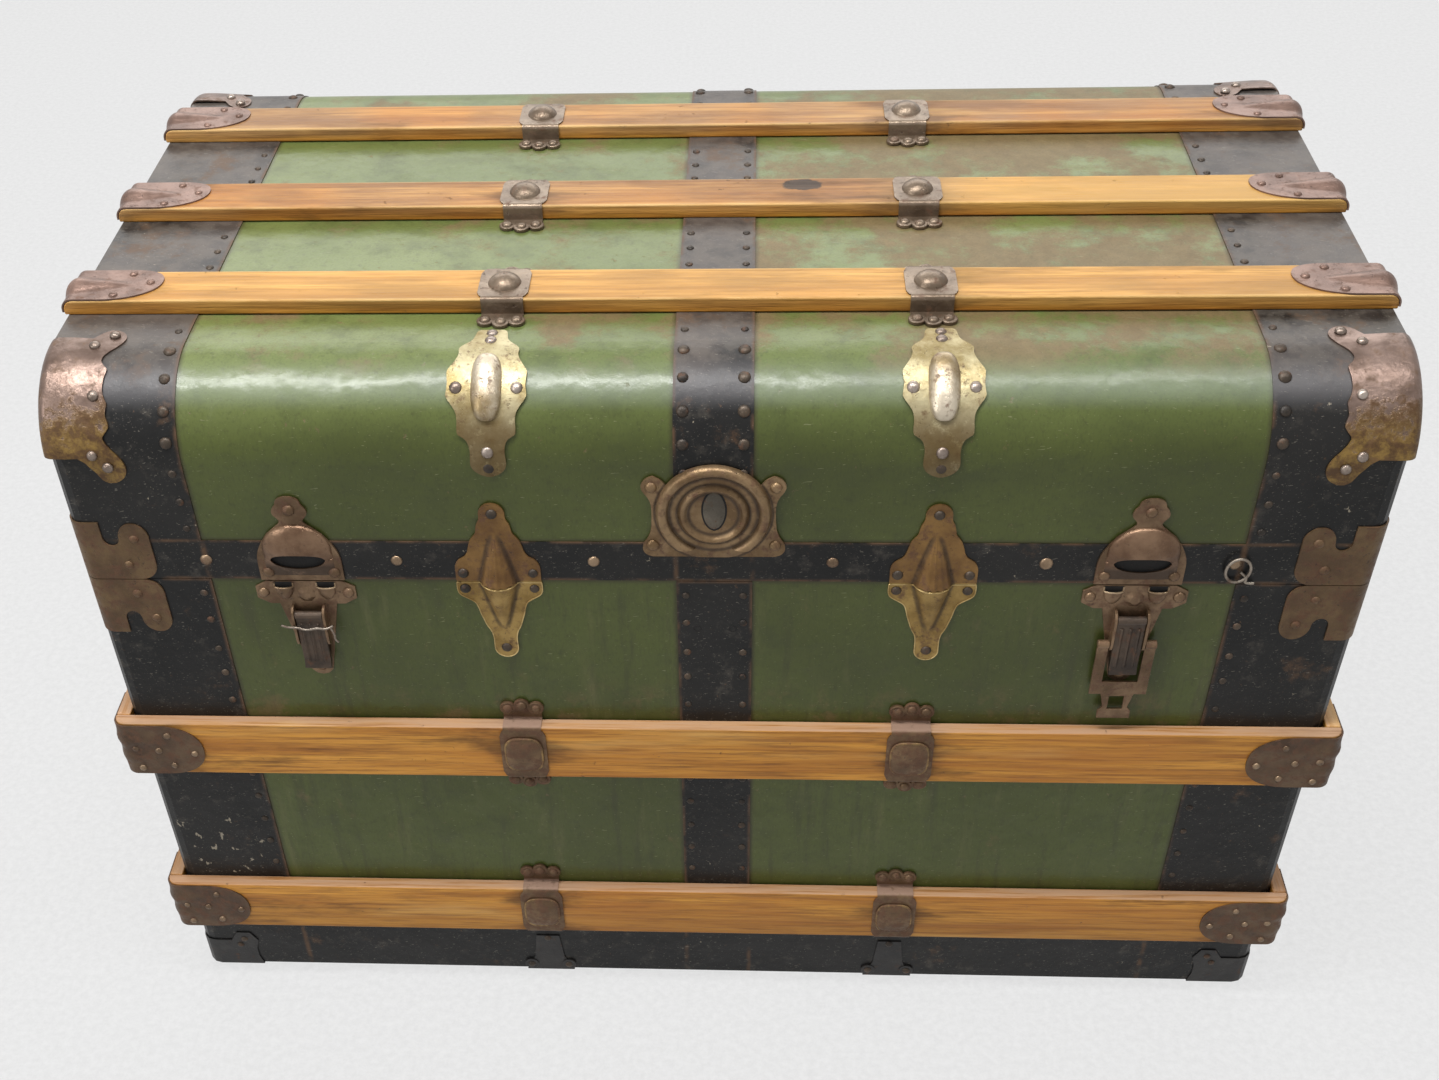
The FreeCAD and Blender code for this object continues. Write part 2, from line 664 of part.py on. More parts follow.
def shield():
    """Scalloped brass shield bent over the front rolled edge, with an oval boss."""
    half_w = SHIELD_W / 2
    shoulder = SHIELD_SHOULDER_W / 2
    face = symmetric(over_roll([
        (0, -SHIELD_DOWN, QUARTER), (SHIELD_LOBE_R, SHIELD_LOBE_R - SHIELD_DOWN, 0),
        (SHIELD_LOBE_R, -SHIELD_NECK_DOWN, 0), (shoulder, -SHIELD_SHOULDER_DOWN, -SCALLOP_BOW),
        (half_w, 0, 0), (half_w, SHIELD_SIDE_H, -SCALLOP_BOW),
        (shoulder, SHIELD_SHOULDER_UP, 0), (SHIELD_LOBE_R, SHIELD_NECK_UP, 0),
        (SHIELD_LOBE_R, SHIELD_UP - SHIELD_TAB_R, 0), (SHIELD_LOBE_R - SHIELD_TAB_R, SHIELD_UP, 0),
        (0, SHIELD_UP, 0),
    ]), STAMP_FLATS)
    cutter = on_roll(plate(face, ROLL_R, BUMPER_REACH), 0)
    inside = lid_prism(BAND_T, -HALF_X, HALF_X)
    skin = lid_prism(BAND_T - HARDWARE_T, -HALF_X, HALF_X).cut(inside)
    dome = boss(SHIELD_BOSS_W / 2, SHIELD_BOSS_L / 2, SHIELD_BOSS_H, SHIELD_BOSS_H)
    raised = on_roll(moved(dome, 0, SHIELD_BOSS_UP, ROLL_R), 0)
    return fuse([skin.common(cutter), raised.cut(inside)])


def guide_plate(length):
    """Half of a lid guide, from the seam at y = 0 to its lobe, with a half cone that widens to the seam."""
    lobe = length - GUIDE_LOBE_R
    half_w = GUIDE_W / 2
    face = symmetric([
        (0, 0, 0), (half_w, 0, 0), (half_w, GUIDE_EAR_H, -QUARTER), (GUIDE_NECK_W / 2, GUIDE_SHOULDER, 0),
        (GUIDE_LOBE_R, lobe, QUARTER), (0, length, 0),
    ], STAMP_FLATS)
    cone_l = lobe - GUIDE_LOBE_R
    ends = ((GUIDE_CONE_R, 0), (GUIDE_CONE_TIP_R, cone_l))
    cone = on_y_axis(faceted([polygon(r, r, CONE_SIDES, z) for r, z in ends]), -GUIDE_CONE_SINK)
    proud = cone.common(box(-FAR, FAR, 0, FAR, 0, FAR))
    return fuse([plate(face, HARDWARE_T), proud])


def guide_parts():
    upper = guide_plate(GUIDE_UP)
    lower = mirror_y(guide_plate(GUIDE_DOWN))
    return {
        "lid_guides": group([on_front(upper, side * GUIDE_X, LID_Z, HALF_Y) for side in SIDES]),
        "guide_sockets": group([on_front(lower, side * GUIDE_X, SEAM_Z, COVER_Y) for side in SIDES]),
    }


def ring(outer, width, height):
    """Raised ring about the origin on the lock's face, rising from both edges to a ridge."""
    corners = ((outer - width, 0), (outer, 0), (outer - width / 2, LOCK_T + height))
    return faceted([polygon(r, r, RING_SIDES, z) for r, z in corners], hollow=True)


def lock_plate():
    """Round lock front with a flat foot, four nailed ears, a rolled outer ring and an inner cup ring."""
    ear = LOCK_EAR_W / 2
    waist = LOCK_R + LOCK_WAIST
    web = symmetric([
        (0, -LOCK_FLAT, 0), (ear - LOCK_EAR_R, -LOCK_FLAT, QUARTER), (ear, LOCK_EAR_R - LOCK_FLAT, QUARTER),
        (waist, LOCK_EAR_H - LOCK_FLAT, 0), (waist, LOCK_EAR_TOP - LOCK_EAR_H, QUARTER),
        (ear, LOCK_EAR_TOP - LOCK_EAR_R, QUARTER), (ear - LOCK_EAR_R, LOCK_EAR_TOP, 0), (0, LOCK_EAR_TOP, 0),
    ], STAMP_FLATS)
    disc = faceted([polygon(LOCK_R, LOCK_R, RING_SIDES, z) for z in (0, LOCK_T)])
    whole = fuse([
        plate(web, LOCK_T), disc,
        ring(LOCK_R, LOCK_RING_W, LOCK_RING_H), ring(LOCK_CUP_R, LOCK_CUP_W, LOCK_CUP_H),
    ])
    return whole.common(box(-FAR, FAR, -LOCK_FLAT, FAR, 0, FAR))


def keyhole_plate():
    half_h = KEYHOLE_H / 2
    oval = symmetric([(0, -half_h, QUARTER), (KEYHOLE_W / 2, 0, QUARTER), (0, half_h, 0)], STAMP_FLATS)
    return plate(oval, KEYHOLE_T, LOCK_T)


def bottom_bumper(layer):
    """Scalloped cap on the tray's front right corner, bent under its bottom edge."""
    face = outline([
        (CORNER_R, -HARDWARE_T, 0), (CORNER_R, BOTTOM_BUMPER_H, 0),
        (BOTTOM_BUMPER_LOBE - BOTTOM_BUMPER_W, BOTTOM_BUMPER_H, HALF_TURN),
        (-BOTTOM_BUMPER_W, BOTTOM_BUMPER_H, -SCALLOP_BOW), (-BOTTOM_BUMPER_W, -HARDWARE_T, 0),
    ], STAMP_FLATS)
    front = on_front(plate(face, HALF_Y), HALF_X, TRAY_Z, HALF_Y - CORNER_R)
    side = box(HALF_X - CORNER_R, FAR, -HALF_Y + CORNER_R, -HALF_Y + CORNER_PLATE_SIDE_L,
               TRAY_Z - HARDWARE_T, TRAY_Z + BOTTOM_BUMPER_H)
    return layer.common(fuse([front, side]))


def cap_parts():
    lid_metal = lid_block(-HARDWARE_T).cut(lid_block(0))
    lid_stamped = lid_block(-BUMPER_T).cut(lid_block(0))
    base_metal = base_block(-HARDWARE_T).cut(base_block(0))
    lid_plate = corner_plate(lid_metal)
    lower_plate = mirror_z(lid_plate, (LID_Z + SEAM_Z) / 2)
    return {
        "lid_corner_bumpers": group(four_corners(bumper(lid_stamped))),
        "lid_corner_plates": group(four_corners(lid_plate)),
        "base_corner_plates": group(four_corners(lower_plate)),
        "bottom_bumpers": group(four_corners(bottom_bumper(base_metal))),
        "lid_shields": group([moved(shield(), side * SHIELD_X, 0, 0) for side in SIDES]),
        "lock_plate": on_front(lock_plate(), 0, LOCK_Z, HALF_Y),
        "keyhole_plate": on_front(keyhole_plate(), 0, LOCK_Z, HALF_Y),
    }


def catch():
    """Lid half of a latch, from the seam at y = 0: an arched plate with a hood open at its lower edge."""
    half_w = CATCH_W / 2
    neck = CATCH_NECK_W / 2
    face = symmetric([
        (0, 0, 0), (half_w, 0, 0), (half_w, CATCH_SIDE_H, ARCH_BOW), (neck, CATCH_ARCH_H, HALF_TURN),
        (CATCH_TIP_W / 2, CATCH_ARCH_H + CATCH_LOBE, QUARTER), (0, CATCH_H, 0),
    ], STAMP_FLATS)
    bend = HOOD_FOOT + HOOD_BEND
    crown = HOOD_FOOT + HOOD_H
    foot_r = HOOD_SINK + HOOD_PROUD
    bend_r = foot_r - PLATE_T
    section = (
        (foot_r - PLATE_T, HOOD_FOOT), (bend_r - PLATE_T, bend), (HOOD_SINK, crown - PLATE_T),
        (HOOD_SINK, crown), (bend_r, bend), (foot_r, HOOD_FOOT),
    )
    hood = on_y_axis(faceted([polygon(r, r, RING_SIDES, z) for r, z in section], hollow=True), -HOOD_SINK)
    shell = hood.common(box(-FAR, FAR, -FAR, FAR, 0, FAR))
    return fuse([plate(face, PLATE_T), shell])


def latch_plate(hasp_pins):
    """Base half of a latch, from the seam at y = 0 down: eared plate, post, cheeks and riveted pins."""
    ear_r = LATCH_EAR / 2
    ear_x = LATCH_W / 2 - ear_r
    ear_low = -LATCH_TOP_GAP - LATCH_EAR
    face = symmetric([
        (0, -LATCH_L, QUARTER), (LATCH_TIP_R, LATCH_TIP_R - LATCH_L, 0), (LATCH_WAIST / 2, ear_low, 0),
        (ear_x, ear_low, HALF_TURN), (ear_x, -LATCH_TOP_GAP, 0), (0, -LATCH_TOP_GAP, 0),
    ], STAMP_FLATS)
    shapes = [plate(face, PLATE_T), moved(boss(POST_R, POST_R, POST_H), 0, -POST_DROP, PLATE_T)]
    top = CHEEK_LAP - LEVER_DROP
    low = -CHEEK_LAP - HASP_DROP
    cheek = outline([
        (0, top, 0), (0, low, 0), (CHEEK_PROUD - CHEEK_LAP, low, QUARTER), (CHEEK_PROUD, -HASP_DROP, 0),
        (CHEEK_PROUD, -LEVER_DROP, QUARTER), (CHEEK_PROUD - CHEEK_LAP, top, 0),
    ], STAMP_FLATS)
    for x in (CHEEK_X + CHEEK_T, -CHEEK_X):
        upright = turned(plate(cheek, CHEEK_T), Vector(0, 1, 0), -90)
        shapes.append(moved(upright, x, 0, 0))
    shapes.append(cylinder_x(LATCH_PIN_R, -CHEEK_X, CHEEK_X, -LEVER_DROP, LATCH_AXIS_OUT))
    if hasp_pins:
        stub = cylinder_x(LATCH_PIN_R, CHEEK_X + CHEEK_T, HASP_END_X, -HASP_DROP, LATCH_AXIS_OUT)
        shapes += [stub, mirror_x(stub)]
    return fuse(shapes)


def eye(x0, x1):
    """Eye of flats about the pin line along X through the origin."""
    ring_face = outline([(-EYE_R, 0, HALF_TURN), (EYE_R, 0, HALF_TURN)], 2 * STAMP_FLATS)
    upright = turned(plate(ring_face, x1 - x0), Vector(0, 1, 0), 90)
    return moved(upright, x0, 0, 0)


def lever():
    """Ribbed finger lever hanging from its pin; the pin runs along X through the origin."""
    half_w = LEVER_W / 2
    half_t = LEVER_T / 2
    bend = LEVER_L - LEVER_TOE
    rib_end = bend - LEVER_TOE_LIFT
    slab = outline([
        (0, -half_t, 0), (bend, -half_t, 0), (LEVER_L, LEVER_TOE_LIFT, 0),
        (LEVER_L - LEVER_TOE_LIFT, half_t + LEVER_TOE_LIFT, 0), (rib_end, half_t, 0), (0, half_t, 0),
    ])
    hanging = turned(plate(slab, LEVER_W), Vector(0, 0, 1), -90)
    body = moved(turned(hanging, Vector(0, 1, 0), -90), half_w, 0, 0)
    shapes = [body, eye(-half_w, half_w)]
    rib = outline([(-RIB_W / 2, 0, 0), (RIB_W / 2, 0, 0), (0, RIB_H, 0)])
    upright = turned(plate(rib, rib_end - RIB_DROP), Vector(1, 0, 0), 90)
    for x in (-RIB_PITCH, 0, RIB_PITCH):
        shapes.append(moved(upright, x, -RIB_DROP, half_t))
    return fuse(shapes).cut(cylinder_x(LATCH_PIN_R + RUN_FIT, -FAR, FAR))


def hasp():
    """Open frame and pierced tongue that hang from two stub pins along X through the origin."""
    half_t = HASP_T / 2
    half_tongue = TONGUE_W / 2
    lip = HASP_LIP - HASP_L
    face = symmetric([
        (0, -HASP_L, 0), (half_tongue, -HASP_L, 0), (half_tongue, lip, 0),
        (half_tongue - TONGUE_NECK, lip + TONGUE_STEP, 0), (half_tongue, -HASP_FRAME_L, 0),
        (HASP_END_X, -HASP_FRAME_L, 0), (HASP_END_X, 0, 0), (0, 0, 0),
    ])
    frame = plate(face, HASP_T, -half_t)
    window = box(-HASP_ARM_X, HASP_ARM_X, -HASP_WINDOW, FAR, -FAR, FAR)
    hole_top = -HASP_FRAME_L - TONGUE_BRIDGE
    hole = box(-TONGUE_HOLE_W / 2, TONGUE_HOLE_W / 2, hole_top - TONGUE_HOLE_L, hole_top, -FAR, FAR)
    eyes = [eye(HASP_ARM_X, HASP_END_X), eye(-HASP_END_X, -HASP_ARM_X)]
    whole = fuse([frame.cut(window).cut(hole)] + eyes)
    return whole.cut(cylinder_x(LATCH_PIN_R + RUN_FIT, -FAR, FAR))


def latch_parts():
    axis_y = COVER_Y + LATCH_AXIS_OUT
    catches = [on_front(catch(), side * LATCH_X, LID_Z, HALF_Y) for side in SIDES]
    plates = [on_front(latch_plate(side > 0), side * LATCH_X, SEAM_Z, COVER_Y) for side in SIDES]
    return {
        "latch_catches": group(catches),
        "latch_plates": group(plates),
        "left_lever": on_front(lever(), -LATCH_X, SEAM_Z - LEVER_DROP, axis_y),
        "right_lever": on_front(lever(), LATCH_X, SEAM_Z - LEVER_DROP, axis_y),
        "right_hasp": on_front(hasp(), LATCH_X, SEAM_Z - HASP_DROP, axis_y),
    }


def hinge_leaf(seat, x0, x1):
    """Upper leaf and knuckle of one hinge about its axis along X through the origin; seat is the wall's y."""
    low = KNUCKLE_R + HINGE_CLEAR
    outer = seat + HINGE_LEAF_T
    knuckle = faceted([polygon(KNUCKLE_R, KNUCKLE_R, CONE_SIDES, z) for z in (x0, x1)])
    return fuse([
        box(-HINGE_W / 2, HINGE_W / 2, seat, outer, low, HINGE_LEAF_H),
        box(x0, x1, seat, outer, SEAM_GAP, low),
        box(x0, x1, seat, 0, SEAM_GAP, KNUCKLE_R),
        turned(knuckle, Vector(0, 1, 0), 90),
    ])


def hinge_parts():
    end = HINGE_W / 2
    half_gap = HINGE_CLEAR / 2
    lid_leaf = hinge_leaf(HALF_Y - HINGE_AXIS_Y, half_gap, end)
    lid_leaf = lid_leaf.cut(cylinder_x(HINGE_PIN_R + RUN_FIT, -FAR, FAR))
    base_leaf = mirror_z(hinge_leaf(COVER_Y - HINGE_AXIS_Y, -end, -half_gap))
    base_leaf = base_leaf.cut(cylinder_x(HINGE_PIN_R, -FAR, FAR))
    pin = cylinder_x(HINGE_PIN_R, -end, end)
    places = [(side * HINGE_X, HINGE_AXIS_Y, SEAM_Z + SEAM_GAP / 2) for side in SIDES]
    return {
        "lid_hinge_leaves": group([moved(lid_leaf, *p) for p in places]),
        "base_hinge_leaves": group([moved(base_leaf, *p) for p in places]),
        "hinge_pins": group([moved(pin, *p) for p in places]),
    }


def handle_parts():
    half = HANDLE_SPAN / 2
    tail = half + HANDLE_TAIL
    bow = HANDLE_BOW / half
    strap = outline([
        (0, -tail, 0), (HANDLE_T, -tail, 0), (HANDLE_T, -half, bow), (HANDLE_T, half, 0),
        (HANDLE_T, tail, 0), (0, tail, 0), (0, half, -bow), (0, -half, 0),
    ], HANDLE_FLATS)
    right = moved(plate(strap, HANDLE_W, -HANDLE_W / 2), COVER_X, 0, HANDLE_Z)
    inner_w = HANDLE_W / 2 + LOOP_CLEAR
    outer_w = inner_w + LOOP_T
    inner_h = HANDLE_T + LOOP_CLEAR
    foot = outer_w + LOOP_FOOT
    hat = fuse([
        box(0, inner_h + LOOP_T, -LOOP_L / 2, LOOP_L / 2, -outer_w, outer_w),
        box(0, LOOP_T, -LOOP_L / 2, LOOP_L / 2, -foot, foot),
    ]).cut(box(0, inner_h, -LOOP_L, LOOP_L, -inner_w, inner_w))
    at = half + HANDLE_TAIL / 2
    loops = [moved(hat, COVER_X, side * at, HANDLE_Z) for side in SIDES]
    return {
        "right_handle": right,
        "left_handle": mirror_x(right),
        "handle_loops": group(loops + [mirror_x(s) for s in loops]),
    }


def main():
    parts = {}
    for section in (
        base_parts, lid_parts, slat_parts, slat_hardware, cap_parts, guide_parts,
        latch_parts, hinge_parts, handle_parts,
    ):
        parts.update(section())
    os.makedirs("parts", exist_ok=True)
    for name, shape in parts.items():
        shape.exportStep(os.path.join("parts", name + ".step"))
        print(name, len(shape.Solids), "solids", shape.isValid(), round(shape.Volume))


main()
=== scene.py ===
"""Finish, nails and leather of the slatted steamer trunk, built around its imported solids."""

import math
import random

import bmesh
import bpy
from mathutils import Matrix, Vector


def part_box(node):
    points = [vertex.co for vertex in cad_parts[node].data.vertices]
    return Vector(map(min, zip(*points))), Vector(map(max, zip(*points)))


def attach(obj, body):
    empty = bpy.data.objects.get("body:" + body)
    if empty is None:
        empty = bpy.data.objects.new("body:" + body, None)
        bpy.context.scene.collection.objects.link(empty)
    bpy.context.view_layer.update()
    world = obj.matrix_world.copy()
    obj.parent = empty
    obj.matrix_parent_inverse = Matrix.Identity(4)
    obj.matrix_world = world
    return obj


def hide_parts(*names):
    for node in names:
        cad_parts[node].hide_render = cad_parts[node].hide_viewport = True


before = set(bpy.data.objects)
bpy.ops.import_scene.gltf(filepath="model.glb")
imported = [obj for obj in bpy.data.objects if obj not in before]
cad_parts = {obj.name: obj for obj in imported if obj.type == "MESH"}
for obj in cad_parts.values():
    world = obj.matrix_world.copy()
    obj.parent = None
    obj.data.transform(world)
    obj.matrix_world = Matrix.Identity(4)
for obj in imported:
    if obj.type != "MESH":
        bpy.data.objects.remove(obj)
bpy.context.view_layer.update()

MM = 0.001
QUARTER = math.pi / 2
SIDES = (-1, 1)
CORNERS = [(x, y) for x in SIDES for y in SIDES]


def middle(node, axis):
    """Middle of a node's box along one axis."""
    first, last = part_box(node)
    return (first[axis] + last[axis]) / 2


# Measures of the frame, in metres.
LID_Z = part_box("lid_rim")[0].z
HALF_X, HALF_Y, RIM_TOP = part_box("lid_rim")[1]
COVER_X, COVER_Y, SEAM_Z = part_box("base_cover")[1]
TRAY_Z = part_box("bottom_tray")[0].z
TRAY_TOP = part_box("bottom_tray")[1].z
STRAP_X, _, LID_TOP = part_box("lid_centre_strap")[1]
END_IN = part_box("lid_right_band")[0].x
ROLL_Y = -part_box("lid_front_round")[1].y
ROLL_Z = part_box("lid_front_round")[0].z
ROLL_R = HALF_Y - ROLL_Y
TOP_SLAT_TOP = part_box("front_top_slat")[1].z
TOP_SLAT_Y = -middle("front_top_slat", 1)
TOP_SLATS = (0.0, TOP_SLAT_Y, -TOP_SLAT_Y)
TOP_SLAT_END, TOP_SLAT_HALF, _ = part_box("middle_top_slat")[1]
SLAT_RISE = TOP_SLAT_TOP - LID_TOP
SLAT_OUT = -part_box("upper_front_slat")[0].y
SLAT_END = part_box("right_side_slats")[1].x
SIDE_RISE = SLAT_OUT - HALF_Y
SIDE_SLAT_HALF = (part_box("upper_front_slat")[1].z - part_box("upper_front_slat")[0].z) / 2
UPPER_SLAT_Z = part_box("upper_front_slat")[0].z + SIDE_SLAT_HALF
LOWER_SLAT_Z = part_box("lower_front_slat")[0].z + SIDE_SLAT_HALF
SIDE_SLATS = (UPPER_SLAT_Z, LOWER_SLAT_Z)
LATCH_X = middle("right_lever", 0)
LATCH_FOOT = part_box("latch_plates")[0].z
CLAMP_X = LATCH_X / 2
SHIELD_HALF = 0.026
SHIELD_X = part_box("lid_shields")[1].x - SHIELD_HALF
GUIDE_HALF = 0.031
GUIDE_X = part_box("lid_guides")[1].x - GUIDE_HALF
GUIDE_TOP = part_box("lid_guides")[1].z
GUIDE_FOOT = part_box("guide_sockets")[0].z
LOCK_Z = middle("keyhole_plate", 2)
HANDLE_Z = middle("right_handle", 2)
HANDLE_OUT, HANDLE_END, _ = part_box("right_handle")[1]
HINGE_HALF = 0.030
HINGE_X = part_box("hinge_pins")[1].x - HINGE_HALF
RIM_NAIL_Z = LID_Z + 0.017
RING_NAIL_X = 0.360
WALL = ROLL_Z - LID_Z
ARC = ROLL_R * QUARTER
MIDDLE = WALL + ARC / 2

# Measures of the stampings that scene.py makes, in metres.
METAL_T = 0.0012
PLATE_T = 0.0015
CONE_R = 0.0143
CONE_TAPER = 0.0126
CONE_SINK = 0.004
CONE_SHORT = 0.016
CORNER_R = 0.011
SLAT_CORNER_R = 0.009
TOP_END_R = 0.007
CAP_SHOULDER = 0.022
WELD = 0.000002

# The photograph's camera, as fitted to the trunk's slats, bands and corners.
PHOTO_W = 1439
SENSOR = 36.0
CAMERA_AT = Vector((0.02585, -1.2026, 1.20761))
CAMERA_PITCH = math.radians(42.28)
CAMERA_YAW = math.radians(-4.72)
CAMERA_ROLL = math.radians(-2.66)
FOCAL_PIXELS = 1702.62
CENTRE_PIXELS = (-73.63, 145.08)

# Light levels: the world, the floor where it is seen, and the lamps in watts.
WORLD_LIGHT = 0.37
WORLD_SEEN = 0.80
FLOOR_LIFT = 0.90
FLOOR_SHADED = (74, 74, 74)
FLOOR_HALF = 14
STRIP_POWER = 28.0
LEFT_POWER = 27.0
BACK_POWER = 54.0
FILL_POWER = 29.0
SEEN_RAYS = ("Is Camera Ray", "Is Glossy Ray", "Is Transmission Ray")

chance = random.Random(31)


def srgb(red, green, blue):
    """Colour from its 8-bit screen steps."""
    steps = [step / 255 for step in (red, green, blue)]
    linear = [s / 12.92 if s <= 0.04045 else ((s + 0.055) / 1.055) ** 2.4 for s in steps]
    return (*linear, 1.0)


class Finish:
    """Node material whose patterns lie in the frame's own metres, so they ride with the bodies."""

    def __init__(self, name, specular):
        self.material = bpy.data.materials.new(name)
        self.material.use_nodes = True
        self.nodes = self.material.node_tree.nodes
        self.links = self.material.node_tree.links
        self.shader = self.nodes["Principled BSDF"]
        self.shader.inputs["Specular IOR Level"].default_value = specular
        self.place = self.nodes.new("ShaderNodeTexCoord").outputs["Object"]
        self.x, self.y, self.z = self.node("ShaderNodeSeparateXYZ", self.place).outputs
        self.colour = None

    def feed(self, socket, value):
        """Links a socket, or sets a value, or leaves the input alone."""
        if isinstance(value, bpy.types.NodeSocket):
            self.links.new(value, socket)
        elif value is not None:
            socket.default_value = value

    def node(self, kind, *inputs, **settings):
        """Makes a node with its settings and first inputs."""
        made = self.nodes.new(kind)
        for name, value in settings.items():
            setattr(made, name, value)
        for socket, value in zip(made.inputs, inputs):
            self.feed(socket, value)
        return made

    def cloudy(self, place, scale, shift, detail, rough):
        """Noise over a place that is first scaled and shifted."""
        mapped = self.node("ShaderNodeMapping", place, (shift, shift * 1.7, shift * 2.3), None, scale)
        made = self.node("ShaderNodeTexNoise", mapped.outputs[0])
        for socket, value in (("Scale", 1.0), ("Detail", detail), ("Roughness", rough)):
            made.inputs[socket].default_value = value
        return made.outputs[0]

    def noise(self, size, detail=4.0, rough=0.55, stretch=(1, 1, 1), shift=0.0):
        """Cloudy pattern with forms of about the given size in metres, drawn out by the stretch."""
        return self.cloudy(self.place, [1 / (size * s) for s in stretch], shift, detail, rough)

    def step(self, value, low, high):
        """0 below low, 1 above high and smooth between; swapped ends turn it round."""
        return self.node("ShaderNodeMapRange", value, low, high, interpolation_type="SMOOTHSTEP").outputs[0]

    def patches(self, low, high, *noise, **more):
        """Patches where a noise goes from low to high."""
        return self.step(self.noise(*noise, **more), low, high)

    def scratches(self, *kinds):
        """Straight scratches, each kind by its width, length, turn about Y and Z, share and shift."""
        found = []
        for width, length, turn, share, shift in kinds:
            turned = self.node("ShaderNodeVectorRotate", self.place, rotation_type="EULER_XYZ")
            turned.inputs["Rotation"].default_value = (0.0, *turn)
            lines = self.cloudy(turned.outputs[0], (1 / length, 1 / width, 1 / width), shift, 1.0, 0.4)
            found.append(self.step(lines, share, share + 0.03))
        return self.most(*found)

    def calc(self, operation, *values):
        """The values joined one after another by an operation."""
        total = values[0]
        for value in values[1:]:
            total = self.node("ShaderNodeMath", total, value, operation=operation).outputs[0]
        return total

    def times(self, *values):
        return self.calc("MULTIPLY", *values)

    def plus(self, *values):
        return self.calc("ADD", *values)

    def minus(self, first, second):
        return self.calc("SUBTRACT", first, second)

    def most(self, *values):
        return self.calc("MAXIMUM", *values)

    def root(self, value):
        return self.calc("SQRT", value, None)

    def size_of(self, value):
        return self.calc("ABSOLUTE", value, None)

    def near(self, value, target, reach):
        """1 where the value is at the target, fading to 0 at the reach from it."""
        return self.step(self.size_of(self.minus(value, target)), reach, 0.0)

    def along(self, *lines):
        """1 along any of the lines, each a value, its target and the reach."""
        return self.most(*[self.near(*line) for line in lines])

    def mix(self, amount, first, second):
        """From the first colour to the second. A colour is a socket or three 8-bit screen steps."""
        made = self.node("ShaderNodeMix", data_type="RGBA")
        for socket, value in ((0, amount), (6, first), (7, second)):
            self.feed(made.inputs[socket], srgb(*value) if isinstance(value, tuple) else value)
        return made.outputs[2]

    def blend(self, pattern, low, high, first, second):
        """From the first colour to the second, as the pattern goes from low to high."""
        return self.mix(self.step(pattern, low, high), first, second)

    def coat(self, colour, amount, *masks):
        """Lays a colour over the finish, by the product of the masks and the amount."""
        self.colour = self.mix(self.times(*masks, amount), self.colour, colour)

    def done(self, rough, *bumps, metal=None):
        """Links the colour, the roughness and a chain of (height, depth) bumps, and gives the material."""
        self.feed(self.shader.inputs["Base Color"], self.colour)
        self.feed(self.shader.inputs["Roughness"], rough)
        self.feed(self.shader.inputs["Metallic"], metal)
        normal = None
        for height, depth in bumps:
            made = self.node("ShaderNodeBump")
            inputs = {"Strength": 1.0, "Distance": depth, "Height": height, "Normal": normal}
            for socket, value in inputs.items():
                self.feed(made.inputs[socket], value)
            normal = made.outputs[0]
        self.feed(self.shader.inputs["Normal"], normal)
        return self.material


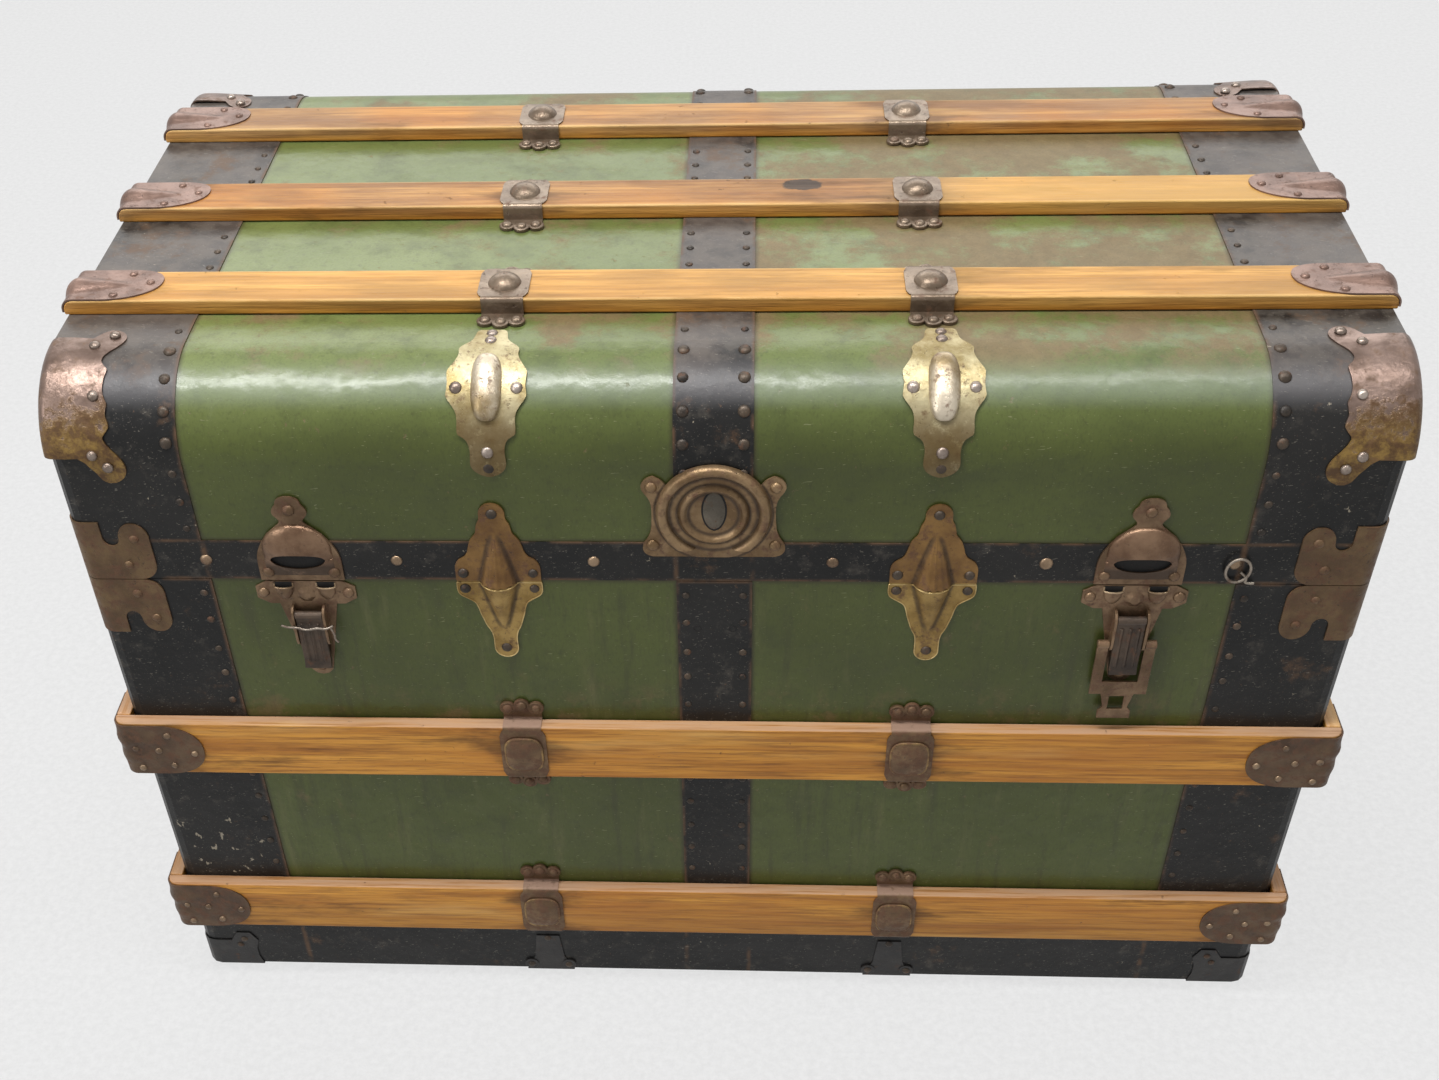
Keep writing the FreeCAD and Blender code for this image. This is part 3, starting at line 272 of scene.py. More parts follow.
def green_paint():
    """Green painted sheet: clouded, scratched, streaked below, faded and worn through to rust on the top,
    with a painted highlight along the top of the roll.
    """
    f = Finish("green_paint", 0.30)
    wide = f.size_of(f.x)
    deep = f.size_of(f.y)
    cloud = f.noise(0.22, 3.0)
    mottle = f.noise(0.035, 5.0, 0.65, shift=3.1)
    fine = f.noise(0.006, 5.0, 0.7, shift=1.3)
    on_top = f.step(f.z, LID_TOP - 0.050, LID_TOP - 0.001)
    below = f.step(f.z, LID_Z, SEAM_Z - 0.02)
    fresh = f.blend(cloud, 0.35, 0.65, (65, 72, 32), (75, 83, 38))
    faded = f.blend(cloud, 0.35, 0.65, (90, 101, 54), (103, 113, 64))
    f.colour = f.mix(on_top, fresh, faded)
    f.coat((58, 64, 34), 0.60, f.step(mottle, 0.46, 0.78))
    f.coat((50, 50, 30), 0.35, f.step(fine, 0.52, 0.74))
    f.coat((54, 54, 34), 0.50, f.patches(0.50, 0.72, 0.012, 5.0, 0.65, (1, 1, 9), 8.0), below)
    f.coat((112, 108, 72), 0.28, f.patches(0.54, 0.76, 0.02, 4.0, 0.65, (1, 1, 7), 14.0), below)
    by_slat = f.along((deep, 0.0, TOP_SLAT_HALF + 0.030), (deep, TOP_SLAT_Y, TOP_SLAT_HALF + 0.030))
    worn = f.plus(
        f.noise(0.085, 8.0, 0.72, shift=21.0), f.times(f.step(f.x, -0.16, 0.24), 0.13),
        f.times(by_slat, 0.06), f.times(f.near(wide, CLAMP_X, 0.07), 0.05))
    bare = f.times(f.step(worn, 0.52, 0.66), f.step(f.z, LID_TOP - 0.012, LID_TOP - 0.001))
    slat_edge = f.near(f.z, UPPER_SLAT_Z + SIDE_SLAT_HALF, 0.05)
    edge = f.times(slat_edge, f.patches(0.50, 0.66, 0.03, 5.0, 0.7, shift=4.0))
    spots = f.patches(0.64, 0.72, 0.010, 5.0, 0.72, shift=11.0)
    stains = f.times(f.patches(0.60, 0.72, 0.05, 6.0, 0.7, (1, 1, 1.8), 33.0), below)
    rust = f.most(f.times(bare, 0.80), f.times(edge, below, 0.5), f.times(spots, 0.65), f.times(stains, 0.45))
    rusty = f.mix(f.noise(0.012, 5.0, 0.7, shift=2.0), (82, 63, 44), (130, 106, 76))
    f.colour = f.mix(rust, f.colour, rusty)
    marks = f.scratches(
        (0.0011, 0.070, (0.1, 0.2), 0.74, 40.0), (0.0010, 0.050, (0.9, 0.9), 0.76, 47.0),
        (0.0012, 0.040, (-0.7, -0.6), 0.76, 55.0))
    f.coat((140, 140, 106), 0.40, marks)
    f.coat((50, 54, 28), 0.25, f.patches(0.45, 0.75, 0.0016, 2.0, 0.5, (1.0, 1.0, 3.0), 61.0))
    lines = ((wide, END_IN), (wide, STRAP_X), (f.z, RIM_TOP), (f.z, SEAM_Z), (f.z, TRAY_TOP))
    f.coat((50, 42, 28), 0.6, f.along(*[(*line, 0.004) for line in lines]))
    # A pale band along the top of the roll is a painted highlight; the paint is also made smoother there.
    painted_sheen = f.near(f.z, LID_TOP - 0.013, 0.013)
    f.coat((150, 160, 146), 0.34, painted_sheen)
    rough = f.plus(0.24, f.times(mottle, 0.14), f.times(rust, 0.26), f.times(painted_sheen, -0.06))
    return f.done(
        rough, (f.noise(0.06, 3.0, shift=6.0), 0.0030), (mottle, 0.0004), (rust, -0.0002), (fine, 0.0001))


def black_paint():
    """Black painted sheet: greyed where hands and feet rub, rusty along its edges, with pale chips and a
    painted highlight along the top of the roll.
    """
    f = Finish("black_paint", 0.24)
    wide = f.size_of(f.x)
    cloud = f.noise(0.10, 4.0, 0.6)
    mottle = f.noise(0.018, 6.0, 0.68, shift=5.0)
    f.colour = f.blend(cloud, 0.35, 0.70, (19, 19, 19), (31, 30, 29))
    on_top = f.step(f.z, LID_TOP - 0.020, LID_TOP - 0.001)
    f.coat((90, 84, 76), 0.45, f.step(f.plus(mottle, f.times(on_top, 0.16)), 0.54, 0.76))
    f.coat((112, 100, 92), 0.30, on_top, f.step(cloud, 0.30, 0.60))
    edge = f.along(
        (wide, END_IN, 0.0035), (wide, STRAP_X, 0.0030), (f.z, LID_Z, 0.0030), (f.z, RIM_TOP, 0.0025),
        (f.z, SEAM_Z, 0.0030), (f.z, TRAY_TOP, 0.0025))
    edge = f.times(edge, f.patches(0.36, 0.60, 0.02, 4.0, shift=9.0))
    specks = f.patches(0.64, 0.72, 0.006, 5.0, 0.72, shift=13.0)
    blotch = f.step(f.plus(f.noise(0.05, 7.0, 0.72, shift=17.0), f.times(on_top, 0.05)), 0.60, 0.72)
    rust = f.most(f.times(edge, 0.75), f.times(specks, 0.60), f.times(blotch, 0.55))
    f.colour = f.mix(rust, f.colour, (94, 70, 50))
    scuffed = f.times(f.near(f.z, TRAY_TOP + 0.075, 0.07), f.step(f.x, -END_IN, -END_IN - 0.04))
    flakes = f.noise(0.009, 5.0, 0.65, (1.0, 1.0, 1.6), 23.0)
    f.coat((158, 148, 130), 0.75, f.step(f.plus(flakes, f.times(scuffed, 0.10)), 0.70, 0.73))
    lines = f.scratches((0.0011, 0.040, (0.2, 0.3), 0.71, 31.0), (0.0010, 0.030, (1.0, 1.1), 0.72, 37.0))
    f.coat((128, 122, 112), 0.40, lines)
    # A pale band along the top of the roll is a painted highlight.
    f.coat((116, 114, 116), 0.44, f.near(f.z, LID_TOP - 0.012, 0.014))
    rough = f.plus(0.28, f.times(mottle, 0.20), f.times(rust, 0.25))
    return f.done(
        rough, (f.noise(0.04, 3.0, shift=6.0), 0.0016), (mottle, 0.0005), (f.noise(0.002, 3.0), 0.00006))


def slat_wood(name, stretch, ends):
    """Varnished hardwood with its grain along the slat, stained by the clamps and towards the ends; dust and
    painted light pale the side slats' upper faces, wear and a painted highlight pale the top slats' edges,
    and painted shade darkens the lowest slats.
    """

    def drawn(share):
        """A share of the grain's stretch."""
        return tuple(1 + (s - 1) * share for s in stretch)

    f = Finish(name, 0.22)
    wide = f.size_of(f.x)
    bands = f.noise(0.011, 5.0, 0.55, stretch, 2.0)
    grain = f.noise(0.0030, 5.0, 0.62, stretch, 5.0)
    pores = f.noise(0.0011, 3.0, 0.6, stretch, 9.0)
    tone = f.noise(0.13, 3.0, 0.5, shift=12.0)
    aloft = f.step(f.z, LID_TOP, LID_TOP + 0.009)
    fresh = f.blend(bands, 0.30, 0.70, (164, 105, 38), (208, 149, 62))
    worn = f.blend(bands, 0.30, 0.70, (144, 96, 45), (192, 143, 79))
    f.colour = f.mix(aloft, fresh, worn)
    f.coat((112, 68, 28), 0.68, f.step(grain, 0.44, 0.70))
    f.coat((92, 56, 24), 0.42, f.step(pores, 0.56, 0.70))
    f.coat((172, 108, 44), 0.35, f.step(tone, 0.42, 0.68))
    smear = f.noise(0.030, 5.0, 0.65, drawn(0.15), 16.0)
    by_clamp = f.near(wide, CLAMP_X, 0.062)
    by_end = f.step(wide, ends - 0.10, ends)
    stain = f.step(f.plus(smear, f.times(by_clamp, 0.17), f.times(by_end, 0.16)), 0.56, 0.76)
    f.coat((70, 45, 25), 0.74, stain)
    # Darker towards the bottom of the lower slats: painted shade.
    f.coat((104, 70, 36), 0.36, f.step(f.z, LOWER_SLAT_Z + 0.024, LOWER_SLAT_Z - 0.026))
    f.coat((138, 113, 88), 0.55, aloft, f.step(f.y, -0.14, 0.14), f.step(tone, 0.70, 0.35))
    f.coat((108, 72, 38), 0.60, f.patches(0.46, 0.64, 0.045, 5.0, 0.6, drawn(0.12), 43.0), aloft)
    # Pale edges along the top slats: worn wood and a painted highlight.
    rims = f.along(*[(f.y, y + side * TOP_SLAT_HALF, 0.003) for y in TOP_SLATS for side in SIDES])
    f.coat((214, 180, 122), 0.7, rims, f.near(f.z, TOP_SLAT_TOP, 0.0024), f.step(smear, 0.72, 0.42))
    # Pale upper faces of the side slats: dust and painted light.
    dust_and_light_ledges = f.along(*[(f.z, z + SIDE_SLAT_HALF, 0.0011) for z in SIDE_SLATS])
    f.coat((176, 142, 114), 0.9, dust_and_light_ledges, f.step(grain, 0.80, 0.40))
    knocks = f.patches(0.66, 0.73, 0.010, 5.0, 0.7, shift=20.0)
    f.coat((62, 42, 26), 0.55, knocks)
    f.coat((222, 182, 112), 0.45, f.patches(0.56, 0.74, 0.05, 4.0, 0.6, drawn(0.3), 26.0))
    front_slat = f.times(f.near(f.y, -TOP_SLAT_Y, 0.08), 0.17)
    middle_slat = f.times(f.near(f.y, 0.0, 0.08), f.step(f.x, 0.10, 0.22), 0.34)
    f.colour = f.mix(f.times(f.most(front_slat, middle_slat), aloft), f.colour, (236, 190, 100))
    at_spot = f.times(f.near(f.x, 0.062, 0.026), f.near(f.y, 0.010, 0.016))
    smudge = f.times(at_spot, f.step(f.z, LID_TOP, LID_TOP + 0.004))
    smudge = f.plus(smudge, f.times(f.noise(0.008, 4.0, 0.7, shift=29.0), 0.6))
    f.coat((34, 30, 26), 0.85, f.step(smudge, 0.62, 0.78))
    rough = f.plus(0.36, f.times(bands, 0.14), f.times(stain, 0.12))
    return f.done(rough, (bands, 0.0006), (grain, 0.0005), (pores, 0.0002), (knocks, -0.0004))


def stamped_metal(name, dull, bright, rust_share, metal, rough, grime_and_painted_light_at=None, grime_and_painted_light_colour=(54, 38, 22)):
    """Plated stamping, bright where it is rubbed, with rust in patches and pits, and in given places a laid
    colour of grime, painted shade and painted light.
    """
    f = Finish(name, 0.45)
    grime = f.noise(0.008, 6.0, 0.70, shift=7.0)
    pits = f.patches(0.60, 0.72, 0.0032, 4.0, 0.65, shift=12.0)
    f.colour = f.blend(f.noise(0.028, 5.0, 0.62, shift=3.0), 0.34, 0.68, dull, bright)
    rust = f.step(f.plus(grime, rust_share), 0.52, 0.70)
    f.coat(f.mix(f.noise(0.005, 4.0, 0.7, shift=18.0), (58, 40, 30), (112, 74, 48)), 0.80, rust)
    f.coat((48, 34, 26), 0.55, pits)
    f.coat(bright, 0.35, f.scratches((0.0007, 0.012, (0.4, 0.4), 0.68, 33.0)))
    # The laid colour is brown tarnish on the shields, dark grooves on the lock, painted shade on the hoods
    # and in the guides' creases, and dust with painted light on the clamps' upper bends.
    if grime_and_painted_light_at:
        grime_and_painted_light = f.times(grime_and_painted_light_at(f), f.step(grime, 0.20, 0.46))
        f.coat(grime_and_painted_light_colour, 0.85, grime_and_painted_light)
        rust = f.most(rust, grime_and_painted_light)
    shine = f.minus(metal, f.times(rust, metal * 0.75))
    roughness = f.plus(rough, f.times(grime, 0.18), f.times(rust, 0.28))
    return f.done(
        roughness, (f.noise(0.02, 3.0, shift=5.0), 0.0012), (grime, 0.0004), (pits, -0.0002), metal=shine)


def in_lock_grooves(f):
    """Marks the grooves beside the lock's bead and its cup."""
    away = f.minus(f.z, LOCK_Z)
    radius = f.root(f.plus(f.times(f.x, f.x), f.times(away, away)))
    grooves = ((0.0306, 0.0026), (0.0252, 0.0018), (0.0174, 0.0022), (0.0408, 0.0016))
    return f.along(*[(radius, *groove) for groove in grooves])


def on_ledge(f):
    """Marks the upper side of the hardware that is bent over the side slats, paled there with dust and
    painted light.
    """
    return f.along(*[(f.z, z + SIDE_SLAT_HALF + METAL_T, 0.0016) for z in SIDE_SLATS])


def low_on_shield(f):
    """Marks the browned lower half of the shields."""
    return f.step(f.z, ROLL_Z + 0.054, ROLL_Z + 0.022)


def low_on_hood(f):
    """Marks the lower part of the catches, below their slits, darkened there with painted shade."""
    return f.step(f.z, LID_Z + 0.019, LID_Z + 0.012)


def guide_crease(f):
    """Marks the creases beside the guides' half cones, darkened there with painted shade."""
    above = f.times(f.minus(f.z, LID_Z), 1 / (GUIDE_TOP - LID_Z - CONE_SHORT))
    below = f.times(f.minus(SEAM_Z, f.z), 1 / (SEAM_Z - GUIDE_FOOT - CONE_SHORT))
    radius = f.minus(CONE_R, f.times(f.most(above, below), CONE_TAPER))
    half = f.root(f.most(f.minus(f.times(radius, radius), CONE_SINK ** 2), 0.0))
    away = f.size_of(f.minus(f.size_of(f.x), GUIDE_X))
    line = f.step(f.size_of(f.minus(away, half)), 0.0030, 0.0004)
    return f.times(line, f.step(half, 0.0005, 0.0040), 0.80)


def bumper_metal():
    """Corner caps: rubbed bronze on the bend and tarnished brass on the leaf below it."""
    f = Finish("bumper_metal", 0.5)
    grime = f.noise(0.009, 6.0, 0.70, shift=8.0)
    small = f.noise(0.011, 6.0, 0.68, shift=14.0)
    bronze = f.blend(f.noise(0.030, 5.0, 0.62, shift=4.0), 0.34, 0.66, (98, 80, 70), (132, 112, 102))
    brass = f.blend(small, 0.36, 0.64, (80, 56, 32), (138, 110, 56))
    leaf = f.step(f.plus(f.z, f.times(f.minus(small, 0.5), 0.11)), ROLL_Z + 0.044, ROLL_Z + 0.026)
    f.colour = f.mix(leaf, bronze, brass)
    rust = f.step(f.plus(grime, f.times(leaf, 0.08)), 0.52, 0.70)
    f.coat(f.mix(f.noise(0.005, 4.0, 0.7, shift=18.0), (62, 44, 30), (108, 76, 44)), 0.75, rust)
    shine = f.minus(0.75, f.times(f.most(rust, f.times(leaf, 0.5)), 0.6))
    roughness = f.plus(0.26, f.times(grime, 0.18), f.times(rust, 0.24), f.times(leaf, 0.10))
    return f.done(
        roughness, (f.noise(0.025, 3.0, shift=5.0), 0.0016), (f.times(small, leaf), 0.0006), (grime, 0.0004),
        metal=shine)


def board_wood(name, stretch):
    """Bare softwood board, seen inside when the lid is up."""
    f = Finish(name, 0.3)
    bands = f.noise(0.016, 5.0, 0.55, stretch, 1.0)
    grain = f.noise(0.0035, 4.0, 0.6, stretch, 6.0)
    f.colour = f.blend(bands, 0.32, 0.68, (164, 124, 74), (198, 162, 108))
    f.coat((132, 92, 50), 0.5, f.step(grain, 0.50, 0.72))
    f.coat((140, 104, 66), 0.35, f.patches(0.45, 0.70, 0.2, 3.0, shift=9.0))
    f.coat((96, 70, 44), 0.4, f.patches(0.62, 0.74, 0.06, 6.0, 0.7, shift=15.0))
    return f.done(f.plus(0.58, f.times(grain, 0.2)), (bands, 0.0008), (grain, 0.0006))


def leather():
    """Dry brown strap leather with a pebbled grain, cracks and darkened edges."""
    f = Finish("leather", 0.4)
    tone = f.noise(0.05, 4.0, 0.6)
    cells = f.node("ShaderNodeTexVoronoi", f.place, feature="DISTANCE_TO_EDGE")
    cells.inputs["Scale"].default_value = 520.0
    pebble = f.step(cells.outputs["Distance"], 0.0, 0.16)
    crack = f.scratches((0.0009, 0.012, (1.5, 0.0), 0.66, 4.0))
    f.colour = f.blend(tone, 0.35, 0.68, (66, 42, 26), (104, 70, 44))
    f.coat((40, 26, 17), 0.4, f.minus(1.0, pebble))
    f.coat((44, 29, 20), 0.6, f.step(f.size_of(f.minus(f.z, HANDLE_Z)), 0.010, 0.0148))
    f.coat((136, 104, 74), 0.7, crack)
    return f.done(f.plus(0.46, f.times(tone, 0.24)), (pebble, 0.0004), (crack, -0.0004), (tone, 0.0012))


def thread():
    """Waxed stitching, dirty in places."""
    f = Finish("thread", 0.3)
    twist = f.noise(0.0016, 3.0, 0.6, (1, 2, 1), 2.0)
    dirt = f.noise(0.02, 4.0, 0.6, shift=7.0)
    f.colour = f.blend(twist, 0.35, 0.65, (128, 102, 70), (176, 150, 112))
    f.coat((84, 62, 42), 0.6, f.step(dirt, 0.48, 0.66))
    return f.done(f.plus(0.6, f.times(dirt, 0.2)), (twist, 0.0004))


def floor_paper():
    """Pale paper floor, mostly its own pale colour where it is seen, with the shadow kept."""
    f = Finish("floor_paper", 0.1)
    grit = f.noise(0.007, 6.0, 0.78)
    rays = f.node("ShaderNodeLightPath").outputs
    seen = f.most(*[rays[ray] for ray in SEEN_RAYS])
    paper = f.blend(grit, 0.30, 0.70, (226, 226, 226), (236, 236, 236))
    f.colour = f.mix(seen, paper, FLOOR_SHADED)
    f.done(f.plus(0.8, f.times(grit, 0.1)))
    lift = f.node("ShaderNodeEmission", paper, f.times(seen, FLOOR_LIFT))
    total = f.node("ShaderNodeAddShader", f.shader.outputs[0], lift.outputs[0])
    f.feed(f.nodes["Material Output"].inputs["Surface"], total.outputs[0])
    return f.material


GREEN = green_paint()
BLACK = black_paint()
SLAT_X_WOOD = slat_wood("slat_wood_along_x", (26, 1, 1), TOP_SLAT_END)
SLAT_Y_WOOD = slat_wood("slat_wood_along_y", (1, 26, 1), TOP_SLAT_END + HALF_X)
BOARD_X = board_wood("board_wood_along_x", (24, 1, 1))
BOARD_Y = board_wood("board_wood_along_y", (1, 24, 1))
LEATHER = leather()
THREAD = thread()
BUMPER = bumper_metal()

# Stampings by their dull and bright colour, share of rust, metal and roughness.
TOP_METAL = stamped_metal("rubbed_metal", (100, 85, 70), (130, 114, 97), 0.0, 0.60, 0.24)
# Hood metal, darkened below the slits with painted shade.
HOOD_METAL = stamped_metal("hood_metal", (94, 70, 52), (128, 102, 80), -0.05, 0.65, 0.22, low_on_hood)
# Rusted stampings, paled on their upper bends over the side slats with dust and painted light.
RUST_METAL = stamped_metal(
    "rusted_metal", (84, 64, 44), (116, 92, 66), 0.10, 0.55, 0.36, on_ledge, (150, 122, 104))
TOP_CAP = stamped_metal("top_cap_metal", (98, 76, 66), (132, 106, 94), -0.02, 0.5, 0.30)
PLATE_METAL = stamped_metal("plate_metal", (80, 60, 40), (106, 84, 56), 0.06, 0.5, 0.36)
CLAMP_RIM = stamped_metal("clamp_rim", (80, 60, 42), (158, 130, 82), 0.13, 0.55, 0.38)
CAP_METAL = stamped_metal("cap_metal", (72, 54, 40), (98, 78, 58), 0.08, 0.55, 0.34)
LATCH_METAL = stamped_metal("latch_metal", (88, 68, 48), (128, 104, 80), 0.05, 0.65, 0.28)
LOCK_METAL = stamped_metal("lock_metal", (98, 76, 50), (138, 114, 84), 0.02, 0.65, 0.26, in_lock_grooves)
BRASS = stamped_metal(
    "tarnished_brass", (130, 114, 74), (180, 170, 136), -0.02, 0.75, 0.36, low_on_shield, (84, 64, 28))
BOSS_METAL = stamped_metal("boss_silver", (138, 120, 88), (200, 188, 168), 0.0, 0.80, 0.30)
# Guide metals, darkened with painted shade in the creases beside their cones.
GUIDE_BROWN = stamped_metal(
    "guide_brown", (96, 68, 38), (132, 100, 56), 0.03, 0.60, 0.30, guide_crease, (34, 22, 14))
GUIDE_BRASS = stamped_metal(
    "guide_brass", (120, 94, 46), (164, 136, 80), 0.0, 0.60, 0.30, guide_crease, (34, 22, 14))
PALE_BRASS = stamped_metal("pale_brass", (150, 122, 72), (206, 182, 128), -0.02, 0.70, 0.28)
LIP_METAL = stamped_metal("rubbed_lip", (120, 98, 74), (168, 146, 118), 0.0, 0.75, 0.24)
SHIELD_NAIL = stamped_metal("shield_nail", (112, 98, 88), (172, 160, 150), -0.04, 0.80, 0.24)
DARK = stamped_metal("black_stamping", (28, 27, 27), (44, 42, 40), -0.06, 0.15, 0.38)
KEYHOLE = stamped_metal("keyhole_grey", (74, 68, 58), (104, 96, 84), 0.0, 0.15, 0.60)
LEVER_METAL = stamped_metal("lever_dark", (52, 44, 38), (84, 70, 58), 0.0, 0.50, 0.36)
STEEL = stamped_metal("hinge_steel", (108, 98, 88), (152, 142, 130), 0.0, 0.85, 0.28)
NAIL_METAL = stamped_metal("nail_metal", (92, 74, 58), (146, 124, 100), 0.0, 0.75, 0.24)
DARK_NAIL = stamped_metal("dark_nail", (40, 36, 32), (80, 68, 56), 0.02, 0.50, 0.34)
SHADE = stamped_metal("hood_shade", (12, 10, 9), (20, 17, 15), -0.1, 0.0, 0.7)


def dress(finish, width, names):
    """Gives CAD nodes a finish and, where a width is named, eases their edges by it."""
    for name in names.split():
        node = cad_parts[name]
        node.data.materials.clear()
        node.data.materials.append(finish)
        if not width:
            continue
        node.modifiers.new("weld", "WELD").merge_threshold = 0.00001
        flats = node.modifiers.new("flats", "DECIMATE")
        flats.decimate_type = "DISSOLVE"
        flats.angle_limit = math.radians(0.5)
        ease = node.modifiers.new("ease", "BEVEL")
        ease.width = width
        ease.segments = 2
        ease.limit_method = "ANGLE"
        ease.angle_limit = math.radians(24)
        ease.use_clamp_overlap = False
        node.modifiers.new("shading", "WEIGHTED_NORMAL").keep_sharp = False


def dress_frame():
    """Finishes all CAD nodes that are shown as they are."""
    dress(GREEN, 0, "base_cover lid_cover")
    dress(BLACK, 0, "bottom_tray base_corner_bindings base_centre_straps")
    dress(BLACK, 0, "lid_left_band lid_right_band lid_centre_strap lid_rim")
    dress(SLAT_X_WOOD, 1.3 * MM, "front_top_slat middle_top_slat rear_top_slat")
    dress(SLAT_X_WOOD, 1.3 * MM, "upper_front_slat upper_back_slat lower_front_slat lower_back_slat")
    dress(SLAT_Y_WOOD, 1.3 * MM, "right_side_slats left_side_slats bottom_runners")
    dress(BOARD_X, 0, "front_board back_board bottom_board lid_front_board lid_back_board")
    dress(BOARD_X, 0, "lid_front_round lid_back_round lid_top_board")
    dress(BOARD_Y, 0, "left_board right_board lid_left_end lid_right_end")
    dress(LATCH_METAL, 0.3 * MM, "latch_plates right_hasp")
    dress(LEVER_METAL, 0.3 * MM, "left_lever right_lever")
    dress(DARK, 0.4 * MM, "bottom_clamps bottom_bumpers")
    dress(STEEL, 0.3 * MM, "lid_hinge_leaves base_hinge_leaves hinge_pins handle_loops")
    dress(LEATHER, 0, "right_handle left_handle")


def added(name, data):
    """Makes an object of the data in the scene."""
    made = bpy.data.objects.new(name, data)
    bpy.context.scene.collection.objects.link(made)
    return made


def mounted(name, data, body):
    """Makes an object of the data that rides on a body."""
    made = added(name, data)
    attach(made, body)
    return made


def piece(name, body, bm, finish, crease=None):
    """Makes a smooth shaded object of the mesh, sharp beyond the crease angle, riding on a body."""
    bmesh.ops.remove_doubles(bm, verts=bm.verts, dist=WELD)
    bmesh.ops.recalc_face_normals(bm, faces=bm.faces)
    mesh = bpy.data.meshes.new(name)
    bm.to_mesh(mesh)
    bm.free()
    mesh.polygons.foreach_set("use_smooth", [True] * len(mesh.polygons))
    if crease:
        mesh.set_sharp_from_angle(angle=math.radians(crease))
    mesh.materials.append(finish)
    return mounted(name, mesh, body)


def wire(name, body, points, radius, finish, closed=False):
    """Bent wire through the points."""
    curve = bpy.data.curves.new(name, "CURVE")
    curve.dimensions = "3D"
    curve.bevel_depth = radius
    curve.bevel_resolution = 3
    curve.use_fill_caps = True
    line = curve.splines.new("NURBS")
    line.points.add(len(points) - 1)
    for spot, place in zip(line.points, points):
        spot.co = (*place, 1.0)
    line.order_u = 3
    line.use_endpoint_u = not closed
    line.use_cyclic_u = closed
    curve.materials.append(finish)
    mounted(name, curve, body)


def seat(point, out, up=None):
    """Axes at a point of a surface: their own Z looks out and their own Y up."""
    out = Vector(out).normalized()
    upward = Vector(up) if up else Vector((0, 1, 0) if abs(out.z) > 0.9 else (0, 0, 1))
    right = upward.cross(out).normalized()
    axes = Matrix((right, out.cross(right), out)).transposed().to_4x4()
    axes.translation = point
    return axes


def on_lid(x, along, lift=0.0):
    """Point and outward direction on the lid's front, so far along it from the seam."""
    if along < WALL:
        return Vector((x, -HALF_Y - lift, LID_Z + along)), Vector((0, -1, 0))
    turn = min(along - WALL, ARC) / ROLL_R
    out = Vector((0, -math.cos(turn), math.sin(turn)))
    point = Vector((x, -ROLL_Y, ROLL_Z)) + out * (ROLL_R + lift)
    return point + Vector((0, max(along - WALL - ARC, 0.0), 0)), out


def on_front(x, z, lift=0.0, wall=HALF_Y):
    return Vector((x, -wall - lift, z)), Vector((0, -1, 0))


def on_side(y, z, lift=0.0, wall=HALF_X):
    return Vector((wall + lift, y, z)), Vector((1, 0, 0))


def on_top(x, y, lift=0.0):
    return Vector((x, y, LID_TOP + lift)), Vector((0, 0, 1))


def mirrored(spots, x=True, y=True):
    """The spots and their images on the other end, the back, or both."""
    found = list(spots)
    if x:
        found += [tuple(Vector((-v.x, v.y, v.z)) for v in spot) for spot in found]
    if y:
        found += [tuple(Vector((v.x, -v.y, v.z)) for v in spot) for spot in found]
    return found


def flipped(grids, x, y=1):
    """Grids of points, turned over in x or y where its factor is -1."""
    return [[[(px * x, py * y, pz) for px, py, pz in row] for row in grid] for grid in grids]


def in_mm(stops):
    """Pairs in millimetres, turned to metres."""
    return [(a * MM, b * MM) for a, b in stops]


def steps(start, end, count):
    return [start + (end - start) * k / count for k in range(count + 1)]


def bent(value, power):
    """Power of a value that keeps its sign."""
    return math.copysign(abs(value) ** power, value)


def arch(share):
    """Half height of a circle at a share of its radius."""
    return math.sqrt(max(0.0, 1 - share ** 2))


def smooth_at(stops, at):
    """Smooth value at a place, through (place, value) stops."""
    last = len(stops) - 1
    k = max([0] + [i for i in range(last) if stops[i][0] <= at])

    def slope(i):
        low, high = stops[max(i - 1, 0)], stops[min(i + 1, last)]
        return (high[1] - low[1]) / (high[0] - low[0])

    (p0, v0), (p1, v1) = stops[k], stops[k + 1]
    span = p1 - p0
    t = (at - p0) / span
    bend = (2 * t - 3) * t * t
    first = v0 * (1 + bend) + slope(k) * span * t * (1 - t) ** 2
    return first - v1 * bend + slope(k + 1) * span * t * t * (t - 1)


def join_rings(bm, rings, closed=True):
    for first, second in zip(rings, rings[1:]):
        count = max(len(first), len(second))
        for k in range(count if closed else count - 1):
            corners = [first[k % len(first)], first[(k + 1) % len(first)]]
            corners += [second[(k + 1) % len(second)], second[k % len(second)]]
            unique = list(dict.fromkeys(corners))
            if len(unique) > 2:
                bm.faces.new(unique)


def tube(bm, rings):
    """Joins rings of vertices and closes both ends."""
    join_rings(bm, rings)
    bm.faces.new(rings[0])
    bm.faces.new(rings[-1])


def lathe(bm, axes, profile, segments=12, wide=1.0, tall=1.0, square=1.0):
    """Adds a form turned about the axes' own Z from (radius, height) stops; square below 1 squares it."""
    rings = []
    for radius, height in profile:
        ring = []
        for k in range(segments if radius else 1):
            turn = 2 * math.pi * k / segments
            across = wide * radius * bent(math.cos(turn), square)
            upward = tall * radius * bent(math.sin(turn), square)
            ring.append(bm.verts.new(axes @ Vector((across, upward, height))))
        rings.append(ring)
    join_rings(bm, rings)


